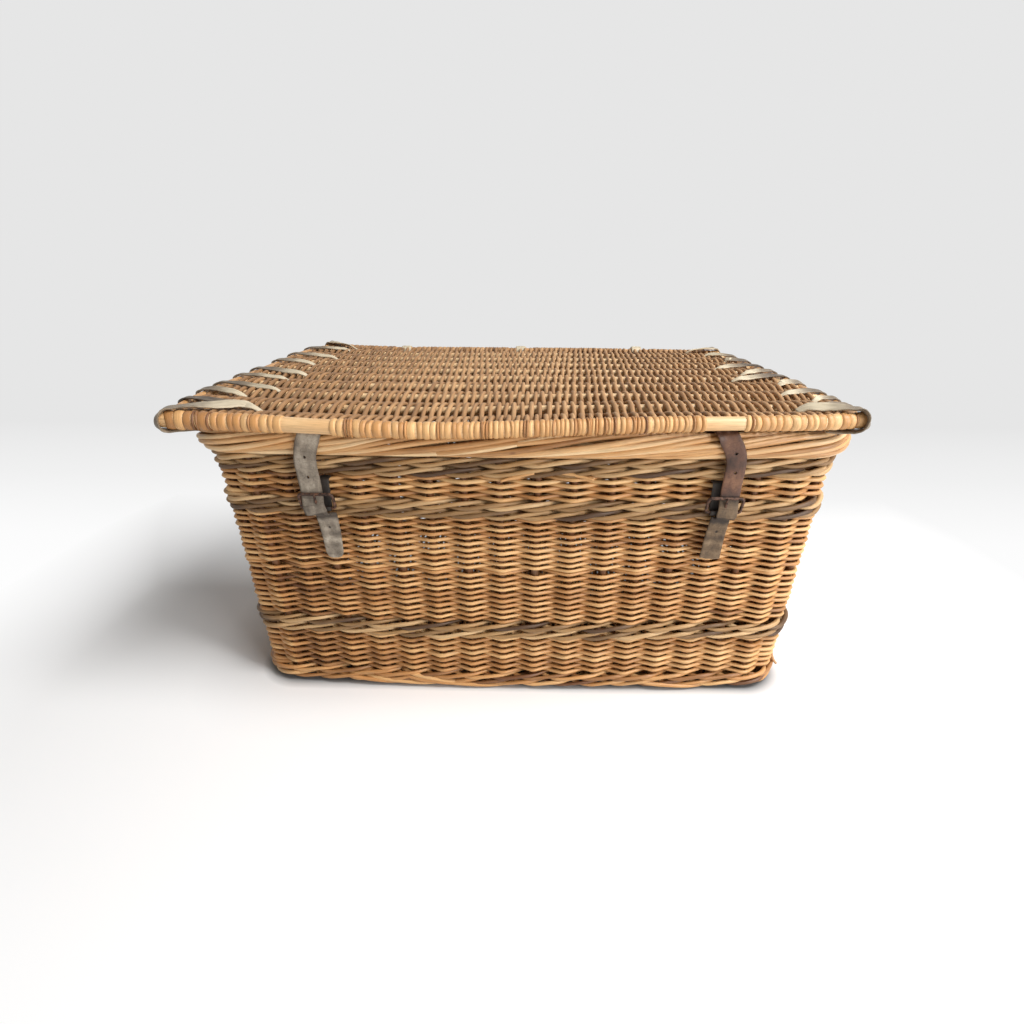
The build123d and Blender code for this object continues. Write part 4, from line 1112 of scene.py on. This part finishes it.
class HAMPER_OT_buckles(bpy.types.Operator):
    """Bends the iron buckle frames and prongs, and folds their chapes"""

    bl_idname = "hamper.buckles"
    bl_label = "Buckles and chapes"

    def execute(self, context):
        rng = own_draws(context, 11)
        for word, sign in (("left", -1), ("right", 1)):
            self.wire_frame(word, sign * STRAP_X)
            self.prong(word, sign * STRAP_X)
            self.chape(word, sign * CHAPE_X, Rods(rng), "grey_leather" if sign < 0 else "brown_leather")
        return {"FINISHED"}

    def wire_frame(self, word, x):
        """A ring of iron wire with four bent corners, from the heel bar to the front bar."""
        near, far = x + FRAME_HALF, x - FRAME_HALF
        corners = from_side([HEEL, FRONT_BAR, FRONT_BAR, HEEL], [near, near, far, far])
        start = (corners[0] + corners[-1]) / 2
        path = bent([start, *corners, start], (3.2, 4.5, 4.5, 3.2), 1.2)[:-1]
        normal = unit(np.cross(corners[1] - corners[0], corners[3] - corners[0]))
        wire = Rods()
        wire.add(path, round_section(np.full(len(path), FRAME_WIRE), 10), 0.5, ref=normal, closed=True)
        wire.mesh(word + "_buckle_wire", finish_of("iron"), word + "_buckle", [word + "_buckle_frame"], "iron")

    def prong(self, word, x):
        """A wire curled round the heel bar in an arc, then straight to a tip just past the front bar."""
        turn = np.linspace(-1.35 * np.pi, 0.0, 26)
        curl = [(HEEL[0] + PRONG_BEND * np.cos(a), HEEL[1] + PRONG_BEND * np.sin(a)) for a in turn]
        tip = (FRONT_BAR[0] + 3.9, FRONT_BAR[1] + 1.8)
        run, rise = tip[0] - HEEL[0] - PRONG_BEND, tip[1] - HEEL[1]
        straight = [(HEEL[0] + PRONG_BEND + run * s, HEEL[1] + rise * s) for s in np.linspace(0.08, 1, 14)]
        path = evened(from_side(curl + straight, np.full(40, x)), 0.9)
        size = np.interp(np.linspace(0, 1, len(path)), (0, 0.7, 0.96, 1), (PRONG_WIRE, PRONG_WIRE, 1.05, 0.6))
        wire = Rods()
        wire.add(path, round_section(size, 10), 0.5, ref=ACROSS)
        wire.mesh(word + "_prong_wire", finish_of("iron"), word + "_prong", [word + "_buckle_prong"], "iron")

    def chape(self, word, x, rods, slot):
        """A short leather band from the wall, folded round the heel bar by three bends."""
        near, far, under = HEEL[0] - CHAPE_BEND, HEEL[0] + CHAPE_BEND, HEEL[1] - CHAPE_BEND
        profile = [(-7.0, 301.0), (near, 301.0), (near, under), (far, under), (far, HEEL[1] + 2.4)]
        path = bent(from_side(profile, np.full(5, x)), (3.0, 2.9, 2.9), 0.9)
        band = flat_section(np.full(len(path), 20.0), np.full(len(path), 2.0), 0.0, 10)
        # Its low tone is painted shade, as it lies in shadow behind the strap
        rods.add(path, band, 0.15, side=band_side(path))
        rods.mesh(word + "_chape_leather", finish_of("dark_leather"), "basket", [word + "_chape"], slot)


class HAMPER_OT_handles(bpy.types.Operator):
    """Twists the two willow end handles"""

    bl_idname = "hamper.handles"
    bl_label = "End handles"

    def execute(self, context):
        rng = own_draws(context, 12)
        for word, sign in (("left", -1), ("right", 1)):
            low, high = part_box(word + "_handle")
            x0 = FLOOR_HALF[0] + (RIM_HALF[0] - FLOOR_HALF[0]) * HANDLE_Z / RIM_Z - 5.0
            x1 = max(abs(low[0]), abs(high[0])) * 1000 - 8.5
            # A bow between two points of the wall: a sine along Y, and a power of a cosine out and down
            turn = np.linspace(-np.pi / 2, np.pi / 2, 90)
            reach = np.cos(turn) ** 0.8
            out, down = sign * (x0 + (x1 - x0) * reach), HANDLE_Z - 22.0 * reach
            bow = np.stack([out, MIDDLE_Y + 72.0 * np.sin(turn), down], -1)
            rods = Rods(rng)
            rope(rods, evened(bow, 2.4), 4.1, 4.1, 3, 5.5, 4.2, closed=False, sides=12)
            rods.mesh(word + "_handle_rope", finish_of("willow"), "basket", [word + "_handle"], "willow")
        return {"FINISHED"}


def floor_board():
    """Painted board, lit and shadowed near the hamper, that fades into the grey backdrop behind it. Only the
    camera sees the fade, and a little light of its own that comes in with distance from the foot."""
    material, tree, shader = blank("matt_white_floor")
    place = add(tree, "TexCoord", out="Object")
    behind = add(tree, "SeparateXYZ", out="Y", Vector=place)
    seen = add(tree, "LightPath", out="Is Camera Ray")
    depth = add(tree, "MapRange", {"From Min": -0.1, "From Max": 1.15}, Value=behind)
    greys = ((0.0, WHITE), (0.25, linear("#fcfcfc")), (0.55, linear("#f1f1f1")), (1.0, linear(BACKDROP_GREY)))
    pale = add(tree, "ValToRGB", stops=greys, Fac=depth)
    # Distance from the foot's outline, less its corner radius, in metres
    middle = add(tree, "VectorMath", {".operation": "SUBTRACT", "1": (0.0, 0.005, 0.0)}, _0=place)
    flat = add(tree, "VectorMath", {".operation": "ABSOLUTE"}, _0=middle)
    beyond = add(tree, "VectorMath", {".operation": "SUBTRACT", "1": (0.3, 0.19, 0.0)}, _0=flat)
    outside = add(tree, "VectorMath", {".operation": "MAXIMUM", "1": (0.0, 0.0, 0.0)}, _0=beyond)
    away = add(tree, "VectorMath", {".operation": "LENGTH"}, out="Value", _0=outside)
    # Painted contact shadow: the board's colour is dark in a band round the foot's outline, where the foot stands
    # on it
    worn = add(tree, "MapRange", {"From Min": 0.048, "From Max": 0.067}, Value=away)
    contact_shadow_greys = ((0.0, (0.2, 0.2, 0.2)), (0.5, (0.6, 0.6, 0.6)), (1.0, (0.9, 0.9, 0.9)))
    tree.links.new(add(tree, "ValToRGB", stops=contact_shadow_greys, Fac=worn), shader.inputs["Base Color"])
    shader.inputs["Roughness"].default_value = 1.0
    shader.inputs["Specular IOR Level"].default_value = 0.0
    near = add(tree, "MapRange", {"From Min": 0.075, "From Max": 0.16, "To Max": FLOOR_LIFT}, Value=away)
    lift = add(tree, "Math", {".operation": "MULTIPLY"}, _0=near, _1=seen)
    lit = add(tree, "AddShader", _0=shader.outputs[0], _1=add(tree, "Emission", Strength=lift))
    far = add(tree, "MapRange", {"From Min": 0.0, "From Max": 0.45}, Value=behind)
    aside = add(tree, "MapRange", {"From Min": 0.34, "From Max": 0.62}, Value=away)
    most = add(tree, "Math", {".operation": "MAXIMUM"}, _0=far, _1=aside)
    share = add(tree, "Math", {".operation": "MULTIPLY"}, _0=most, _1=seen)
    both = add(tree, "MixShader", _0=share, _1=lit, _2=add(tree, "Emission", Color=pale))
    tree.links.new(both, tree.nodes["Material Output"].inputs["Surface"])
    return material


class HAMPER_OT_stage(bpy.types.Operator):
    """Sets the pale floor, the lights and the camera"""

    bl_idname = "hamper.stage"
    bl_label = "Stage"

    def execute(self, context):
        scene = context.scene
        scene.view_settings.view_transform = "Standard"
        mesh = bpy.data.meshes.new("studio_floor")
        mesh.from_pydata([(-12, -8, 0), (12, -8, 0), (12, 14, 0), (-12, 14, 0)], [], [(0, 1, 2, 3)])
        mesh.materials.append(floor_board())
        floor = bpy.data.objects.new("studio_floor", mesh)
        scene.collection.objects.link(floor)
        world = bpy.data.worlds.new("soft_studio")
        world.use_nodes = True
        scene.world = world
        tree = world.node_tree
        tree.nodes.clear()
        # The camera and glossy surfaces see the backdrop, and everything else the soft light
        rays = [add(tree, "LightPath", out=name) for name in ("Is Camera Ray", "Is Glossy Ray")]
        either = add(tree, "Math", {".operation": "MAXIMUM"}, _0=rays[0], _1=rays[1])
        ambient = add(tree, "Background", {"Color": (1.0, 0.985, 0.96, 1.0), "Strength": 0.19})
        backdrop = add(tree, "Background", {"Color": (*linear(BACKDROP_GREY), 1.0), "Strength": 1.0})
        both = add(tree, "MixShader", _0=either, _1=ambient, _2=backdrop)
        add(tree, "OutputWorld", Surface=both)
        for name, place, size, power in LIGHTS:
            light = bpy.data.lights.new(name, "AREA")
            light.shape, light.size, light.energy = "SQUARE", size, power
            lamp = bpy.data.objects.new(name, light)
            way = unit(np.array(place) - np.array(LIGHT_AIM))
            lamp.location = place
            lamp.rotation_euler = (math.acos(way[2]), 0.0, math.atan2(way[1], way[0]) + math.pi / 2)
            scene.collection.objects.link(lamp)
        camera = bpy.data.cameras.new("photo_camera")
        camera.lens, camera.sensor_width, camera.clip_end = CAMERA_LENS, CAMERA_SENSOR, 60.0
        eye = bpy.data.objects.new("photo_camera", camera)
        eye.location = CAMERA_PLACE
        eye.rotation_euler = (math.radians(CAMERA_PITCH), 0.0, math.radians(CAMERA_TURN))
        scene.collection.objects.link(eye)
        scene.camera = eye
        return {"FINISHED"}


class HAMPER_PT_panel(bpy.types.Panel):
    """Lists the hamper's sizes, colours and pieces"""

    bl_idname = "HAMPER_PT_panel"
    bl_label = "Willow hamper"
    bl_space_type = "VIEW_3D"
    bl_region_type = "UI"
    bl_category = "Hamper"

    def draw(self, context):
        for group in (context.scene.hamper_sizes, context.scene.hamper_colours):
            for name in group.__annotations__:
                self.layout.prop(group, name)
        for operator in OPERATORS:
            self.layout.operator(operator.bl_idname)


OPERATORS = (
    HAMPER_OT_stage, HAMPER_OT_wall_weave, HAMPER_OT_wales, HAMPER_OT_stakes, HAMPER_OT_border, HAMPER_OT_base,
    HAMPER_OT_lid_rods, HAMPER_OT_lid_weave, HAMPER_OT_rod_turns, HAMPER_OT_lacing, HAMPER_OT_hinges,
    HAMPER_OT_straps, HAMPER_OT_buckles, HAMPER_OT_handles,
)
CLASSES = (HamperSizes, HamperColours, HAMPER_PT_panel) + OPERATORS


def register():
    """Adds the classes and the two groups of settings."""
    for cls in CLASSES:
        bpy.utils.register_class(cls)
    bpy.types.Scene.hamper_sizes = PointerProperty(type=HamperSizes)
    bpy.types.Scene.hamper_colours = PointerProperty(type=HamperColours)


def unregister():
    """Takes the settings and the classes away again."""
    del bpy.types.Scene.hamper_colours
    del bpy.types.Scene.hamper_sizes
    for cls in reversed(CLASSES):
        bpy.utils.unregister_class(cls)


def main():
    """Builds every piece and the stage."""
    register()
    for operator in OPERATORS:
        group, name = operator.bl_idname.split(".")
        getattr(getattr(bpy.ops, group), name)()


if __name__ == "__main__":
    main()
